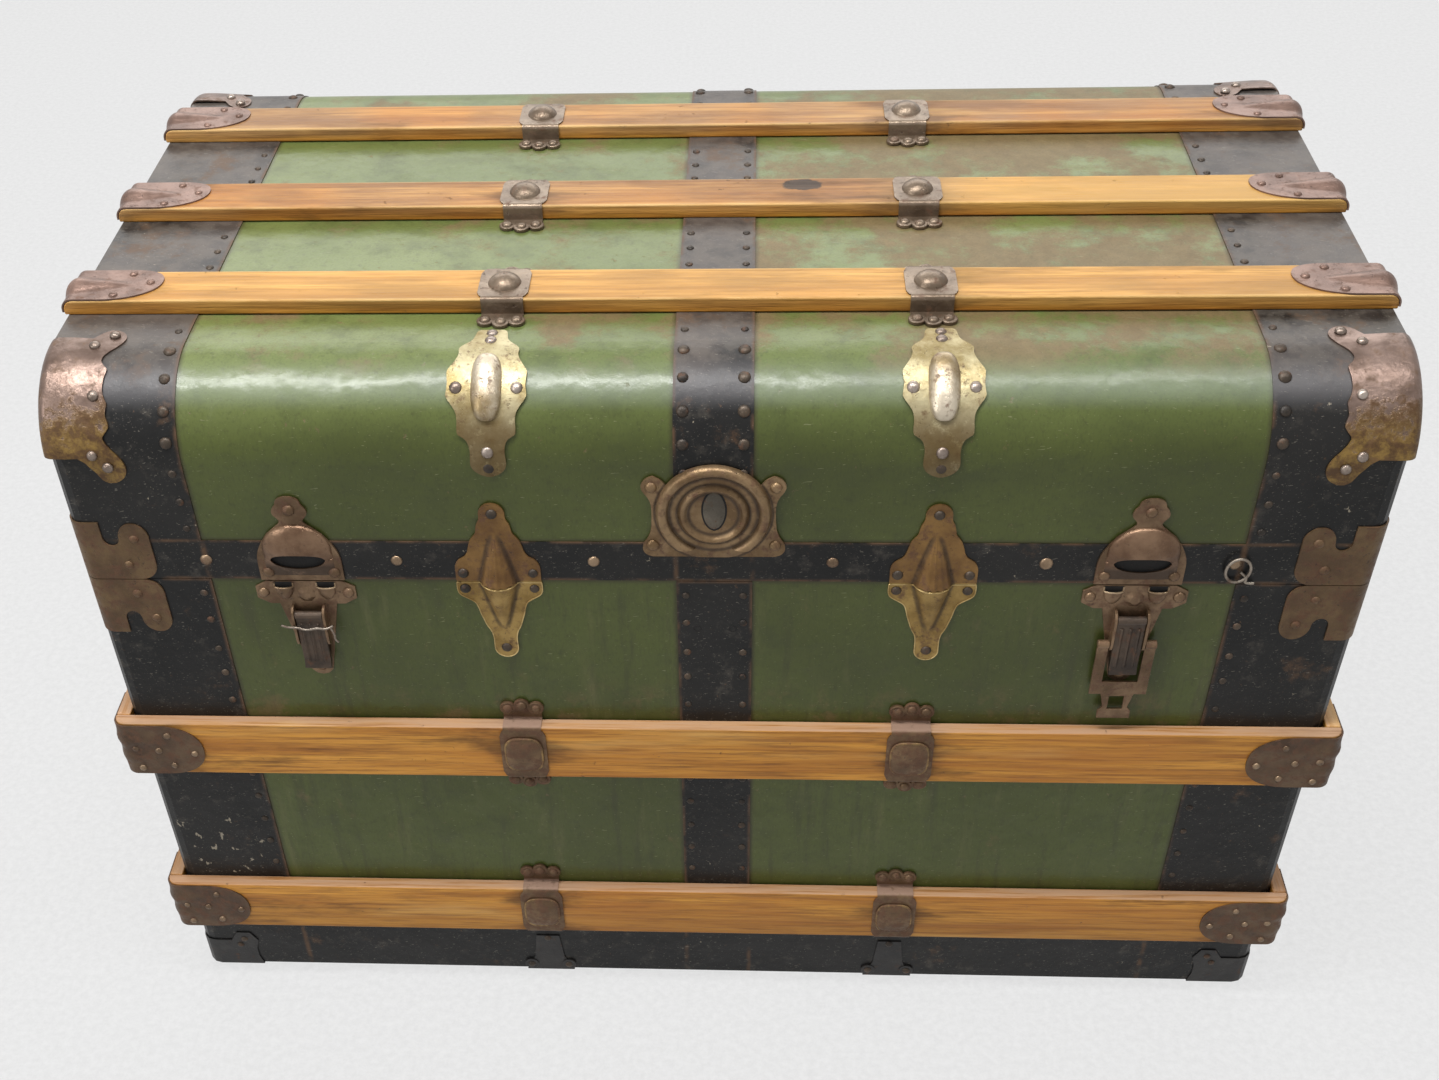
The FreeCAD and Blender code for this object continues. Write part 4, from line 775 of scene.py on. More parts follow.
def shell(bm, outer, inner):
    """Adds a thin closed solid between two like grids of points."""
    grids = [[[bm.verts.new(point) for point in row] for row in grid] for grid in (outer, inner)]
    rims = []
    for grid in grids:
        join_rings(bm, grid, closed=False)
        right = [row[-1] for row in grid[1:-1]]
        left = [row[0] for row in grid[-2:0:-1]]
        rims.append(grid[0] + right + grid[-1][::-1] + left)
    join_rings(bm, rims)


def flat_patch(bm, rows, lift, wall=HALF_Y):
    """Adds a flat stamping on the front from (z, left, right) rows, from the wall out to the lift."""
    outer = [[(x, -wall - lift, z) for x in steps(left, right, 24)] for z, left, right in rows]
    shell(bm, outer, [[(x, -wall, z) for x, _, z in row] for row in outer])


# Share of a nail's radius and of its height, from its foot to its crown.
NAIL_STOPS = ((1.0, -0.20), (1.0, 0.10), (0.90, 0.42), (0.66, 0.76), (0.34, 0.95), (0.0, 1.0))


def nails(name, body, spots, radius, finish, proud=0.5):
    """One joined piece of round nail heads of a radius in millimetres, each a little out of true."""
    bm = bmesh.new()
    for point, out in spots:
        lean = Vector([chance.uniform(-0.10, 0.10) for _ in range(3)])
        size = radius * MM * chance.uniform(0.92, 1.06)
        lathe(bm, seat(point, out + lean), [(r * size, h * size * proud) for r, h in NAIL_STOPS], 11)
    piece(name, body, bm, finish, None)


def spread(start, end, pitch):
    """Evenly spaced places from start to end, about the pitch apart and a little unsteady."""
    count = max(1, round((end - start) / pitch))
    step = (end - start) / count
    return [start + step * k + chance.uniform(-0.06, 0.06) * pitch for k in range(count + 1)]


def clear_of_slats(along):
    """Whether a place on the lid's section lies clear of the top slats."""
    y = on_lid(0, along)[0].y
    return min(abs(y - s) for s in TOP_SLATS) > TOP_SLAT_HALF + 0.008


def band_nails():
    """Nails of the bands, straps and rim, without those that a slat would cover."""
    end_x = END_IN + 0.008
    strap_x = STRAP_X - 0.0065
    flat, bold, base = [], [], []
    for x in (end_x, strap_x):
        for along in spread(0.046, WALL + ARC + ROLL_Y, 0.0225):
            if WALL < along < WALL + ARC:
                bold.append(on_lid(x, along))
            elif clear_of_slats(along):
                flat.append(on_lid(x, along))
    nails("lid_band_nails", "lid", mirrored(flat), 2.9, DARK_NAIL)
    nails("lid_roll_nails", "lid", mirrored(bold), 4.3, DARK_NAIL)
    rim = [on_front(x, RIM_NAIL_Z) for x in (-0.364, -0.226, -0.085, 0.083, 0.231, RING_NAIL_X)]
    ends = [on_side(y, RIM_NAIL_Z) for y in (-0.18, -0.06, 0.06, 0.18)]
    nails("rim_nails", "lid", mirrored(rim, x=False) + mirrored(ends, y=False), 4.6, NAIL_METAL)
    for z in spread(TRAY_TOP + 0.012, SEAM_Z - 0.012, 0.026):
        if min(abs(z - s) for s in SIDE_SLATS) >= SIDE_SLAT_HALF + 0.006:
            base += [on_front(strap_x, z), on_front(end_x, z), on_side(-HALF_Y + 0.053, z)]
    nails("base_band_nails", "base", mirrored(base), 2.9, DARK_NAIL)


def lobes(name, body, spots, finish):
    """One joined piece of round lobes that carry the clamps' nails."""
    bm = bmesh.new()
    for point, out in spots:
        lathe(bm, seat(point, out), in_mm(((6.1, -0.6), (6.1, 1.3), (5.7, 1.7), (0.0, 1.75))), 20)
    piece(name, body, bm, finish, 40)


def raised(spots):
    """The spots, lifted onto their lobes."""
    return [(point + out * 1.6 * MM, out) for point, out in spots]


def clamp_nails():
    """Three nails in each lobed foot, by the foot's place on its slat."""
    feet = in_mm(((-10.8, 12.0), (10.8, 12.0), (0.0, 14.5)))
    sunk = METAL_T - 0.8 * MM
    top, base = [], []
    for y in TOP_SLATS:
        for dx, reach in feet:
            top += [on_top(CLAMP_X + dx, y + side * (TOP_SLAT_HALF + reach), sunk) for side in SIDES]
    for z in SIDE_SLATS:
        for dx, reach in feet:
            base.append(on_front(CLAMP_X + dx, z + SIDE_SLAT_HALF + reach, sunk))
            if z == UPPER_SLAT_Z:
                base.append(on_front(CLAMP_X + dx, z - SIDE_SLAT_HALF - reach, sunk))
    under = LOWER_SLAT_Z - SIDE_SLAT_HALF
    low = [on_front(CLAMP_X + side * 11 * MM, under - 7 * MM, sunk) for side in SIDES]
    low += [on_front(CLAMP_X + side * 16.5 * MM, TRAY_Z + 7 * MM, sunk) for side in SIDES]
    neck = [on_front(CLAMP_X, under - reach, METAL_T) for reach in (8 * MM, 22 * MM)]
    top = mirrored(top, y=False)
    base = mirrored(base)
    low = mirrored(low)
    lobes("top_clamp_lobes", "lid", top, TOP_METAL)
    nails("top_clamp_nails", "lid", raised(top), 4.0, TOP_METAL, 0.6)
    lobes("base_clamp_lobes", "base", base, RUST_METAL)
    nails("base_clamp_nails", "base", raised(base), 4.0, RUST_METAL, 0.6)
    lobes("low_clamp_lobes", "base", low, DARK)
    nails("low_clamp_nails", "base", mirrored(neck) + raised(low), 3.3, DARK_NAIL)


def saddle(bm, place, edge, feet):
    """Adds a clamp bent over a slat; place takes x, the way across the slat and the height above its back."""
    bend = 3.6 * MM
    thin = bend - METAL_T
    over = edge + METAL_T
    start = over - bend
    top = SLAT_RISE + METAL_T
    crest = top - bend
    wide, neck, toe = 17.8 * MM, 14.8 * MM, 11.5 * MM
    back = (
        (0.0, wide), (start - 5.5 * MM, wide), (start - 2.8 * MM, wide - 1.0 * MM),
        (start - 0.8 * MM, neck + 1.2 * MM))
    outer, inner = [], []
    for side, foot in zip(SIDES, feet):
        rows = [(a, top, a, top - METAL_T, half) for a, half in back]
        for turn in steps(0.0, QUARTER, 7):
            places = []
            for radius in (bend, thin):
                places += [start + radius * math.sin(turn), crest + radius * math.cos(turn)]
            rows.append((*places, neck))
        rows.append((over, foot + METAL_T, edge, foot, neck))
        for a, half in ((over + 5 * MM, neck), (over + 11 * MM, toe)):
            rows.append((a, foot + METAL_T, a, foot, half))
        if side < 0:
            rows = rows[:0:-1]
        for a, h, low_a, low_h, half in rows:
            outer.append([place(x, side * a, h) for x in steps(-half, half, 6)])
            inner.append([place(x, side * low_a, low_h) for x in steps(-half, half, 6)])
    shell(bm, outer, inner)


def clamps():
    """Clamps over the top slats and the base slats."""
    sunk = COVER_Y - HALF_Y
    top = bmesh.new()
    base = bmesh.new()
    for x0 in (-CLAMP_X, CLAMP_X):
        for y0 in TOP_SLATS:
            saddle(top, lambda x, a, h: Vector((x0 + x, y0 + a, LID_TOP + h)), TOP_SLAT_HALF, (sunk, sunk))
        for z0, foot in ((UPPER_SLAT_Z, sunk), (LOWER_SLAT_Z, 0.0)):
            for face in SIDES:
                on_face = lambda x, a, h: Vector((x0 + x, face * (HALF_Y + h), z0 + a))
                saddle(base, on_face, SIDE_SLAT_HALF, (foot, sunk))
    made = piece("top_clamp_saddles", "lid", top, TOP_METAL, 50)
    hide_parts("top_slat_clamps")
    made = piece("base_clamp_saddles", "base", base, RUST_METAL, 50)
    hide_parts("base_slat_clamps")


def clamp_domes():
    """Smooth pressed domes on the top clamps, and squarer embosses with a rubbed rim on the base clamps."""
    shares = (0.97, 0.9, 0.8, 0.65, 0.5, 0.32, 0.15, 0.0)
    dome = [(11.9 * MM, -0.3 * MM)] + [(r * 11.8 * MM, 6.6 * MM * (1 - r ** 2.2) ** 0.75) for r in shares]
    bm = bmesh.new()
    for point, out in mirrored([on_top(CLAMP_X, y, SLAT_RISE + METAL_T) for y in TOP_SLATS], y=False):
        lathe(bm, seat(point, out), dome, 28)
    piece("top_clamp_domes", "lid", bm, TOP_METAL)
    emboss = ((1.0, -0.3), (1.0, 1.2), (0.95, 1.9), (0.82, 2.6), (0.62, 3.4), (0.36, 4.0), (0.0, 4.3))
    rim = ((1.02, 0.7), (1.04, 1.2), (1.01, 1.75), (0.96, 2.15), (0.92, 1.9), (0.95, 0.7), (1.02, 0.7))
    spots = mirrored([on_front(CLAMP_X, z, SIDE_RISE + METAL_T) for z in SIDE_SLATS])
    for name, profile, finish in (
        ("base_clamp_domes", emboss, RUST_METAL), ("base_clamp_rims", rim, CLAMP_RIM),
    ):
        bm = bmesh.new()
        for point, out in spots:
            lathe(bm, seat(point, out), [(r, h * MM) for r, h in profile], 40, 14.6 * MM, 17.0 * MM, 0.6)
        piece(name, "base", bm, finish)


def cap_nails():
    """Nails of the caps on the top slats' ends and on the side slats' corners."""
    top, corner = [], []
    for y in TOP_SLATS:
        for dx, dy in in_mm(((58.5, 3), (43, 15), (36, -14.5))):
            top.append(on_top(TOP_SLAT_END - dx, y + dy, SLAT_RISE + METAL_T))
    nails("top_cap_nails", "lid", mirrored(top, y=False), 3.2, TOP_CAP, 0.6)
    for z in SIDE_SLATS:
        for dx, dz in in_mm(((59, -4), (41, 15), (40, -17), (31, -1), (13, 1), (14, -20))):
            corner.append(on_front(SLAT_END - dx, z + dz, SIDE_RISE + METAL_T))
        for dy, dz in in_mm(((20, 16), (20, -16))):
            corner.append(on_side(-SLAT_OUT + dy, z + dz, SLAT_END - HALF_X + METAL_T))
    nails("corner_cap_nails", "base", mirrored(corner), 3.0, NAIL_METAL, 0.6)


def round_corner(q, z, lift, end_x, out_y, radius):
    """Place so far from the bend of a front right corner: before it on the front, or past it on the end."""
    arc = radius * QUARTER
    if q >= 0:
        return Vector((end_x - radius - q, -out_y - lift, z))
    if q > -arc:
        turn = -q / radius
        reach = radius + lift
        return Vector((end_x - radius + reach * math.sin(turn), -out_y + radius - reach * math.cos(turn), z))
    return Vector((end_x + lift, -out_y + radius - q - arc, z))


def four_shells(bm, columns, corner, lift):
    """Adds a stamping on all four corners from (q, low, high) columns of the front right one."""
    outer, inner = [], []
    for q, low, high in columns:
        levels = steps(low, high, 18)
        outer.append([round_corner(q, z, lift(q, z), *corner) for z in levels])
        inner.append([round_corner(q, z, 0.0, *corner) for z in levels])
    for x, y in CORNERS:
        shell(bm, *flipped((outer, inner), x, y))


def plate_column(d):
    """Low and high edge of a corner plate in millimetres, so far from the trunk's end."""
    low = 0.0 if d < 43 else 13 - math.sqrt(max(0.0, 169 - (d - 43) ** 2))
    if d <= 22:
        return low, 50.0
    if d < 34:
        return low, 37 - 1.2 * math.sqrt(36 - (d - 28) ** 2)
    return low, 37 + math.sqrt(max(0.0, 121 - (d - 45) ** 2)) * 1.1


def corner_plates():
    """Plates wrapped round the corners on both sides of the seam: a block, a U notch and a round lobe."""
    round_end = CORNER_R * QUARTER + 0.031
    places = steps(-42.0, 11.0, 30) + [21.9]
    places += [28 - 6 * math.cos(a) for a in steps(0.02, math.pi - 0.02, 16)]
    places += [45 - 11 * math.cos(a) for a in steps(0.05, math.pi, 26)]
    columns = []
    for d in places:
        q = d * MM - CORNER_R if d >= 11 else (d + 42) / 53 * round_end - round_end
        columns.append((q, *plate_column(max(d, 11.0))))
    for name, body, node, level, sign in (
        ("upper_corner_plates", "lid", "lid_corner_plates", LID_Z, 1),
        ("lower_corner_plates", "base", "base_corner_plates", SEAM_Z, -1),
    ):
        bm = bmesh.new()
        shaped = [(q, level + sign * low * MM, level + sign * high * MM) for q, low, high in columns]
        four_shells(bm, shaped, (HALF_X, HALF_Y, CORNER_R), lambda q, z: METAL_T)
        made = piece(name, body, bm, PLATE_METAL, 38)
        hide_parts(node)


def cap_places(back, back_count, front_count, nose):
    """Places and nose shares of a cap: from behind its bend, over the shoulder and along the rounded nose."""
    places = steps(-back, 0.0, back_count) + steps(0.0, CAP_SHOULDER, front_count)[1:]
    places += [CAP_SHOULDER + nose * math.sin(a) for a in steps(0.0, QUARTER, 22)[1:]]
    return [(q, max(0.0, (q - CAP_SHOULDER) / nose)) for q in places]


def nosed(share):
    """Share of a cap's half width that is left, so far along its nose."""
    return (1 - share ** 2.3) ** (1 / 2.3)


def slat_caps():
    """Nosed caps round the corners of the side slats, with two pressed flutes towards the bend."""
    arc = SLAT_CORNER_R * QUARTER
    bm = bmesh.new()
    for level in SIDE_SLATS:
        columns = []
        for q, share in cap_places(arc + 0.029, 24, 10, 0.036):
            centre = level - 0.8 * MM
            half = (SIDE_SLAT_HALF - 0.8 * MM) * nosed(share)
            columns.append((q, centre - half, centre + half))

        def lift(q, z):
            """How far the cap stands out, with its two flutes."""
            along = max(0.0, 1 - max(q, 0.0) / 0.034) * (1 if q > -arc else 0.3)
            first = math.exp(-((z - level - 0.009) / 0.0055) ** 2)
            second = math.exp(-((z - level + 0.009) / 0.0055) ** 2)
            return METAL_T + 1.5 * MM * along * (first + 0.7 * second)

        four_shells(bm, columns, (SLAT_END, SLAT_OUT, SLAT_CORNER_R), lift)
    made = piece("slat_cap_shells", "base", bm, CAP_METAL, 38)
    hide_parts("slat_corner_caps")


def top_caps():
    """Nosed caps over the top slats' ends, each with a broad flute that opens towards the end."""
    back = TOP_END_R * QUARTER + (SLAT_RISE - TOP_END_R - 0.002)

    def lift(q, y):
        """How far the cap stands out, with its flute."""
        opening = min(1.0, max(0.0, 1 - (max(0.0, q) + TOP_END_R) / 0.046))
        half = (2.5 + 11 * opening) * MM
        height = 4.8 * MM * opening ** 0.8 * (1 - 0.75 * max(0.0, -q) / back)
        return METAL_T + height * max(0.0, 1 - (y / half) ** 2) ** 1.4

    bm = bmesh.new()
    for y0 in TOP_SLATS:
        grids = [], []
        for q, share in cap_places(back, 14, 12, 0.038):
            half = (TOP_SLAT_HALF - 0.3 * MM) * nosed(share)
            across = [5 * MM * share ** 1.5 + half * k / 14 for k in range(-14, 15)]
            for grid, up in zip(grids, (lift, lambda q, y: 0.0)):
                spots = [round_corner(q, y, up(q, y), TOP_SLAT_END, TOP_SLAT_TOP, TOP_END_R) for y in across]
                grid.append([(p.x, p.z + y0, -p.y) for p in spots])
        for side in SIDES:
            shell(bm, *flipped(grids, side))
    made = piece("top_cap_shells", "lid", bm, TOP_CAP, 38)
    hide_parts("top_slat_caps")


def corner_nails():
    """Nails of the corner bumpers and corner plates."""
    bumper = in_mm(((43, 199), (32, 187), (37, 147), (33, 107), (42, 98)))
    spots = [on_lid(HALF_X - dx, along, 2.2 * MM) for dx, along in bumper]
    nails("bumper_nails", "lid", mirrored(spots), 3.9, SHIELD_NAIL, 0.65)
    plate = in_mm(((45, 36), (36, 13)))
    spots = [on_front(HALF_X - dx, LID_Z + up, METAL_T) for dx, up in plate]
    nails("upper_plate_nails", "lid", mirrored(spots), 3.6, RUST_METAL)
    spots = [on_front(HALF_X - dx, SEAM_Z - down, METAL_T) for dx, down in plate]
    nails("lower_plate_nails", "base", mirrored(spots), 3.6, RUST_METAL)
    spots = [on_front(HALF_X - dx, TRAY_Z + up, METAL_T) for dx, up in in_mm(((38, 33), (33, 25)))]
    nails("bottom_bumper_nails", "base", mirrored(spots), 3.0, DARK_NAIL)


# Half widths of the shields in millimetres, by the distance along the roll from its middle.
SHIELD_SIDE = (
    (-54.6, 1.5), (-53, 5.8), (-50, 9.8), (-46, 12), (-42, 12.2), (-36, 11.8), (-31, 12.4), (-27, 14.4),
    (-25.2, 17), (-23.6, 19.4), (-20, 19.9), (-15, 19.7), (-9.3, 20.4), (-5, 22.8), (-1, 25.8), (2, 27.3),
    (5, 27), (10, 26.5), (16, 27), (19.5, 27), (24, 24.4), (29, 21.6), (34, 20.2), (37.5, 20.6), (39.8, 20),
    (42, 18), (46, 13.8), (49, 12), (53, 11.2), (57, 10.6), (59.5, 9.8), (61, 8),
)


def shields():
    """Brass shields bent over the front rolled edge, with smooth oval bosses and nails."""
    plates = bmesh.new()
    bosses = bmesh.new()
    spots = []
    stops = [(1.02, -3.0 * MM)]
    stops += [(r, 6.6 * MM * (1 - r ** 2.4) ** 0.75) for r in (0.97, 0.9, 0.8, 0.65, 0.45, 0.25, 0.0)]
    rows = [(MIDDLE + t * MM, smooth_at(SHIELD_SIDE, t) * MM) for t in steps(-54.6, 61.0, 90)]
    for side in SIDES:
        x0 = side * SHIELD_X
        grids = []
        for lift in (METAL_T, 0.0):
            grids.append([
                [on_lid(x, s, lift)[0] for x in steps(x0 - half, x0 + half, 20)]
                for s, half in rows])
        shell(plates, *grids)
        point, out = on_lid(x0, MIDDLE + 9 * MM, 0.6 * MM)
        axes = seat(point, out, (0, out.z, -out.y))
        lathe(bosses, axes, stops, 40, 10.8 * MM, 23.6 * MM, 0.76)
        for dx, along in in_mm(((-20.5, 7.4), (20.5, 7.4), (0, 57), (0, 48), (0, -36))):
            spots.append(on_lid(x0 + dx, MIDDLE + along, METAL_T - 0.6 * MM))
    made = piece("shield_plates", "lid", plates, BRASS, 38)
    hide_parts("lid_shields")
    piece("shield_bosses", "lid", bosses, BOSS_METAL, None)
    nails("shield_nails", "lid", spots, 4.4, SHIELD_NAIL, 0.65)
    low = [on_lid(side * SHIELD_X, MIDDLE - 48 * MM, METAL_T - 0.6 * MM) for side in SIDES]
    nails("shield_low_nails", "lid", low, 3.8, DARK_NAIL, 0.4)


# Half widths of the guides in millimetres, by the share of their length from the seam.
LID_GUIDE_SIDE = (
    (0, 30.5), (0.12, 30.6), (0.20, 30.2), (0.27, 27.6), (0.32, 22.8), (0.38, 20.4), (0.45, 19.2),
    (0.53, 17.4), (0.57, 15.6), (0.62, 13.2), (0.68, 12.4), (0.74, 11.4), (0.79, 9.7), (0.84, 9.2),
    (0.87, 9.3),
)
SOCKET_SIDE = (
    (0, 30.5), (0.12, 30.6), (0.18, 28.8), (0.22, 24.5), (0.27, 19.4), (0.34, 17.2), (0.42, 15.9),
    (0.50, 14.2), (0.58, 12.4), (0.66, 9.7), (0.73, 8.6), (0.82, 8.5), (0.90, 8.6),
)


def guide_grids(x0, wall, seam, end, stops, flute):
    """Outer and inner grid of half a guide: a scalloped flat with a half cone that widens to the seam."""
    length = abs(end - seam)
    sign = 1 if end > seam else -1
    lobe = stops[-1][1] * MM
    places = steps(0.0, length - lobe, 44)
    places += [length - lobe * (1 - math.sin(a)) for a in steps(0.1, QUARTER, 9)]
    outer = []
    for along in places:
        if along <= length - lobe:
            half = smooth_at(stops, min(along / length, stops[-1][0])) * MM
        else:
            half = math.sqrt(max(0.0, lobe ** 2 - (along - length + lobe) ** 2))
        radius = max(0.0, CONE_R - CONE_TAPER * along / (length - CONE_SHORT))
        wide = math.sqrt(max(0.0, radius ** 2 - CONE_SINK ** 2))
        row = []
        for x in steps(-half, half, 56):
            lift = METAL_T
            if abs(x) < wide:
                lift += math.sqrt(radius ** 2 - x * x) - CONE_SINK
                lift -= flute * (1 - math.cos(5 * math.pi * x / wide)) * wide / CONE_R
            row.append((x0 + x, -wall - max(lift, METAL_T), seam + sign * along))
        outer.append(row)
    return outer, [[(x, -wall, z) for x, _, z in row] for row in outer]


def guides():
    """The two lid guides in their halves, the pale rims of the lower ones as rubbed brass and a painted
    highlight, and their nails.
    """
    for name, body, node, seam, end, wall, stops, finish, flute in (
        ("lid_guide", "lid", "lid_guides", LID_Z, GUIDE_TOP, HALF_Y, LID_GUIDE_SIDE, GUIDE_BROWN, 0.5 * MM),
        ("guide_socket", "base", "guide_sockets", SEAM_Z, GUIDE_FOOT, COVER_Y, SOCKET_SIDE, GUIDE_BRASS, 0.0),
    ):
        length = abs(end - seam)
        sign = 1 if end > seam else -1
        bm = bmesh.new()
        spots = []
        for side, word in zip(SIDES, ("left", "right")):
            x0 = side * GUIDE_X
            outer, inner = guide_grids(x0, wall, seam, end, stops, flute)
            shell(bm, outer, inner)
            for dx, up in ((-25, 7), (25, 7), (0, length / MM - 9)):
                spots.append(on_front(x0 + dx * MM, seam + sign * up * MM, METAL_T, wall))
            if body == "base":
                # A pale wire round each socket's edge: rubbed brass and a painted highlight.
                rim = [row[0] for row in outer[1:]] + [row[-1] for row in outer[:0:-1]] + outer[1][-2:0:-1]
                wire("socket_rim_" + word, body, rim, 0.5 * MM, PALE_BRASS, True)
        made = piece(name + "_plates", body, bm, finish, 38)
        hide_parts(node)
        nails(name + "_nails", body, spots, 3.9, DARK_NAIL, 0.6)


# Inner edge of the corner bumpers in millimetres from the trunk's end, by the distance along the lid.
BUMPER_EDGE = (
    (85, 44.6), (87, 48.6), (90, 51.8), (94, 53.6), (98, 53.9), (102, 52.8), (106, 50.4), (110, 47),
    (115, 43.4), (119.5, 42), (123, 44.6), (126.6, 46.8), (130, 46.2), (134, 45), (138, 45.4), (142, 46),
    (146, 44.2), (151, 42.9), (156, 42.9), (160, 43.3), (164, 44.2), (167, 44.2), (170, 41.2), (174, 39.6),
    (178, 40.8), (182, 43.6), (186, 47.2), (190, 49.8), (194, 51.2), (198, 51.2), (202, 49.6), (205, 46.6),
    (206.5, 43),
)
BUMPER_LEAF = ((85, 40), (87, 36.6), (90, 34.6), (94, 32.6), (98, 29.6), (102, 26.6), (106.5, 20))
BUMPER_TAB = ((192, 24), (195, 28.6), (199, 31.6), (203, 34.4), (206.5, 39))
BUMPER_BEND = 8.5
BUMPER_ARC = BUMPER_BEND * QUARTER
BUMPER_LAP = 12.0


def bumper_point(edge, along, thin):
    """Place on a front right bumper: so far in from the end, or round the bend where edge is small."""
    swell = 1.2 + 1.9 * max(0.0, min(1.0, (46 - edge) / 32)) - thin
    foot, out = on_lid(0.0, along * MM)
    bend = BUMPER_BEND - thin
    if edge >= BUMPER_BEND:
        across, rise = -edge, swell
    else:
        turn = min(1.0, (BUMPER_BEND - edge) / BUMPER_ARC) * QUARTER
        past = max(0.0, BUMPER_BEND - edge - BUMPER_ARC)
        across = swell - bend + bend * math.sin(turn)
        rise = swell - bend + bend * math.cos(turn) - past
    return Vector((HALF_X + across * MM, foot.y, foot.z)) + out * rise * MM


def bumpers():
    """Stamped corner caps, rolled round the lid's corners, with a nailed tab above and a leaf below."""
    bm = bmesh.new()
    far = BUMPER_BEND - BUMPER_ARC - BUMPER_LAP
    for start, stop, count, stops in (
        (105.0, 195.0, 60, None), (85.0, 106.4, 18, BUMPER_LEAF), (193.0, 206.5, 14, BUMPER_TAB),
    ):
        grids = [], []
        for s in steps(start, stop, count):
            end = smooth_at(stops, s) if stops else far
            edges = steps(smooth_at(BUMPER_EDGE, s), end, 36)
            for grid, thin in zip(grids, (0.0, 1.1)):
                grid.append([bumper_point(edge, s, thin) for edge in edges])
        for x, y in CORNERS:
            shell(bm, *flipped(grids, x, y))
    made = piece("corner_caps", "lid", bm, BUMPER, 38)
    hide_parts("lid_corner_bumpers")


# Radius and height stops of the lock's disc and of its bead, in millimetres.
LOCK_DISC = (
    (0, 0), (39.6, 0), (39.4, 1.8), (38.6, 2.2), (30, 2.6), (27, 2.5), (25, 2.3), (24.2, 3.2), (23.2, 4.9),
    (21.9, 5.7), (20.6, 5.4), (19.6, 4.3), (18.6, 3), (17, 2.3), (0, 2.1),
)
LOCK_BEAD = (
    (31.4, 0.4), (31.4, 1.8), (31.8, 3.7), (33, 5.6), (34.7, 6.8), (36.3, 6.9), (37.9, 6.1), (39.2, 4.4),
    (39.9, 2.2), (39.9, 0.4), (31.4, 0.4),
)
# Half widths of the lock's web by the height from its middle, and the inner edge of its upper ears.
LOCK_SIDE = (
    (-37.4, 42.5), (-36.6, 45.2), (-35, 47.6), (-32.5, 49.2), (-29.5, 49.6), (-26, 48.8), (-22, 46.4),
    (-16, 44), (-8, 43), (2, 42.7), (9, 43.4), (14, 45.6), (17.5, 48), (21, 49.4), (24, 49.2), (27, 47.6),
    (29.2, 45), (30.4, 41.8),
)
LOCK_EAR_IN = ((10, 30), (20, 31), (25, 33.6), (28, 36.6), (30.4, 41))
LOCK_FOOT = 37.4
BEAD_END = 29.0
SCREW_HOLE = ((3.4, -0.1), (3.0, 0.25), (2.3, 0.25), (1.9, -0.05), (0.0, -0.05))


def trimmed(bm, z):
    """Cuts away what lies below a level and closes the cut."""
    bmesh.ops.remove_doubles(bm, verts=bm.verts, dist=WELD)
    whole = bm.verts[:] + bm.edges[:] + bm.faces[:]
    bmesh.ops.bisect_plane(bm, geom=whole, plane_co=(0, 0, z), plane_no=(0, 0, -1), clear_outer=True)
    bmesh.ops.holes_fill(bm, edges=[e for e in bm.edges if e.is_boundary], sides=0)
    return bm


def oval(half_w, half_h, base, rise):
    """Mesh of the upright pointed oval at the keyhole, in millimetres, domed by the rise."""
    bm = bmesh.new()
    x, z = 0.4 * MM, LOCK_Z + 3 * MM
    wall = -HALF_Y - base * MM
    outer = []
    for t in steps(-1.0, 1.0, 24):
        half = half_w * MM * (1 - t * t) ** 0.56
        outer.append([
            (x + half * u, wall - rise * MM * (1 - u * u) * (1 - t * t), z + half_h * MM * t)
            for u in steps(-1.0, 1.0, 10)])
    shell(bm, outer, [[(px, wall + 0.4 * MM, pz) for px, _, pz in row] for row in outer])
    return bm


def lock():
    """Stamped lock front: eared web, cupped disc, bead cut off above the foot, keyhole plate and nails."""
    bm = bmesh.new()
    web = [(dz, smooth_at(LOCK_SIDE, dz)) for dz in steps(-LOCK_FOOT, 12.0, 44)]
    flat_patch(bm, [(LOCK_Z + dz * MM, -half * MM, half * MM) for dz, half in web], PLATE_T)
    for side in SIDES:
        ear = [(dz, smooth_at(LOCK_EAR_IN, dz), smooth_at(LOCK_SIDE, dz)) for dz in steps(12.0, 30.4, 24)]
        flat_patch(bm, [(LOCK_Z + dz * MM, side * a * MM, side * b * MM) for dz, a, b in ear], PLATE_T)
    made = piece("lock_web", "lid", bm, LOCK_METAL, 38)
    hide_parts("lock_plate")
    axes = seat(*on_front(0.0, LOCK_Z))
    for name, stops, foot in (("lock_disc", LOCK_DISC, LOCK_FOOT), ("lock_bead", LOCK_BEAD, BEAD_END)):
        bm = bmesh.new()
        lathe(bm, axes, in_mm(stops), 72)
        piece(name, "lid", trimmed(bm, LOCK_Z - foot * MM), LOCK_METAL, 44)
    piece("keyhole_border", "lid", oval(8.8, 17.2, 2.55, 0.0), SHADE, 44)
    made = piece("keyhole_oval", "lid", oval(7.6, 15.6, 2.75, 0.8), KEYHOLE, 44)
    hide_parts("keyhole_plate")
    spots = [on_front(side * 42.6 * MM, LOCK_Z + dz * MM, PLATE_T) for side in SIDES for dz in (21.6, -27.6)]
    nails("lock_nails", "lid", spots, 4.6, LOCK_METAL, 0.6)
    bm = bmesh.new()
    for dx in (-12.5, 13.3):
        lathe(bm, seat(*on_front(dx * MM, SEAM_Z - 44 * MM)), in_mm(SCREW_HOLE), 14)
    piece("lock_screw_holes", "base", bm, SHADE, None)


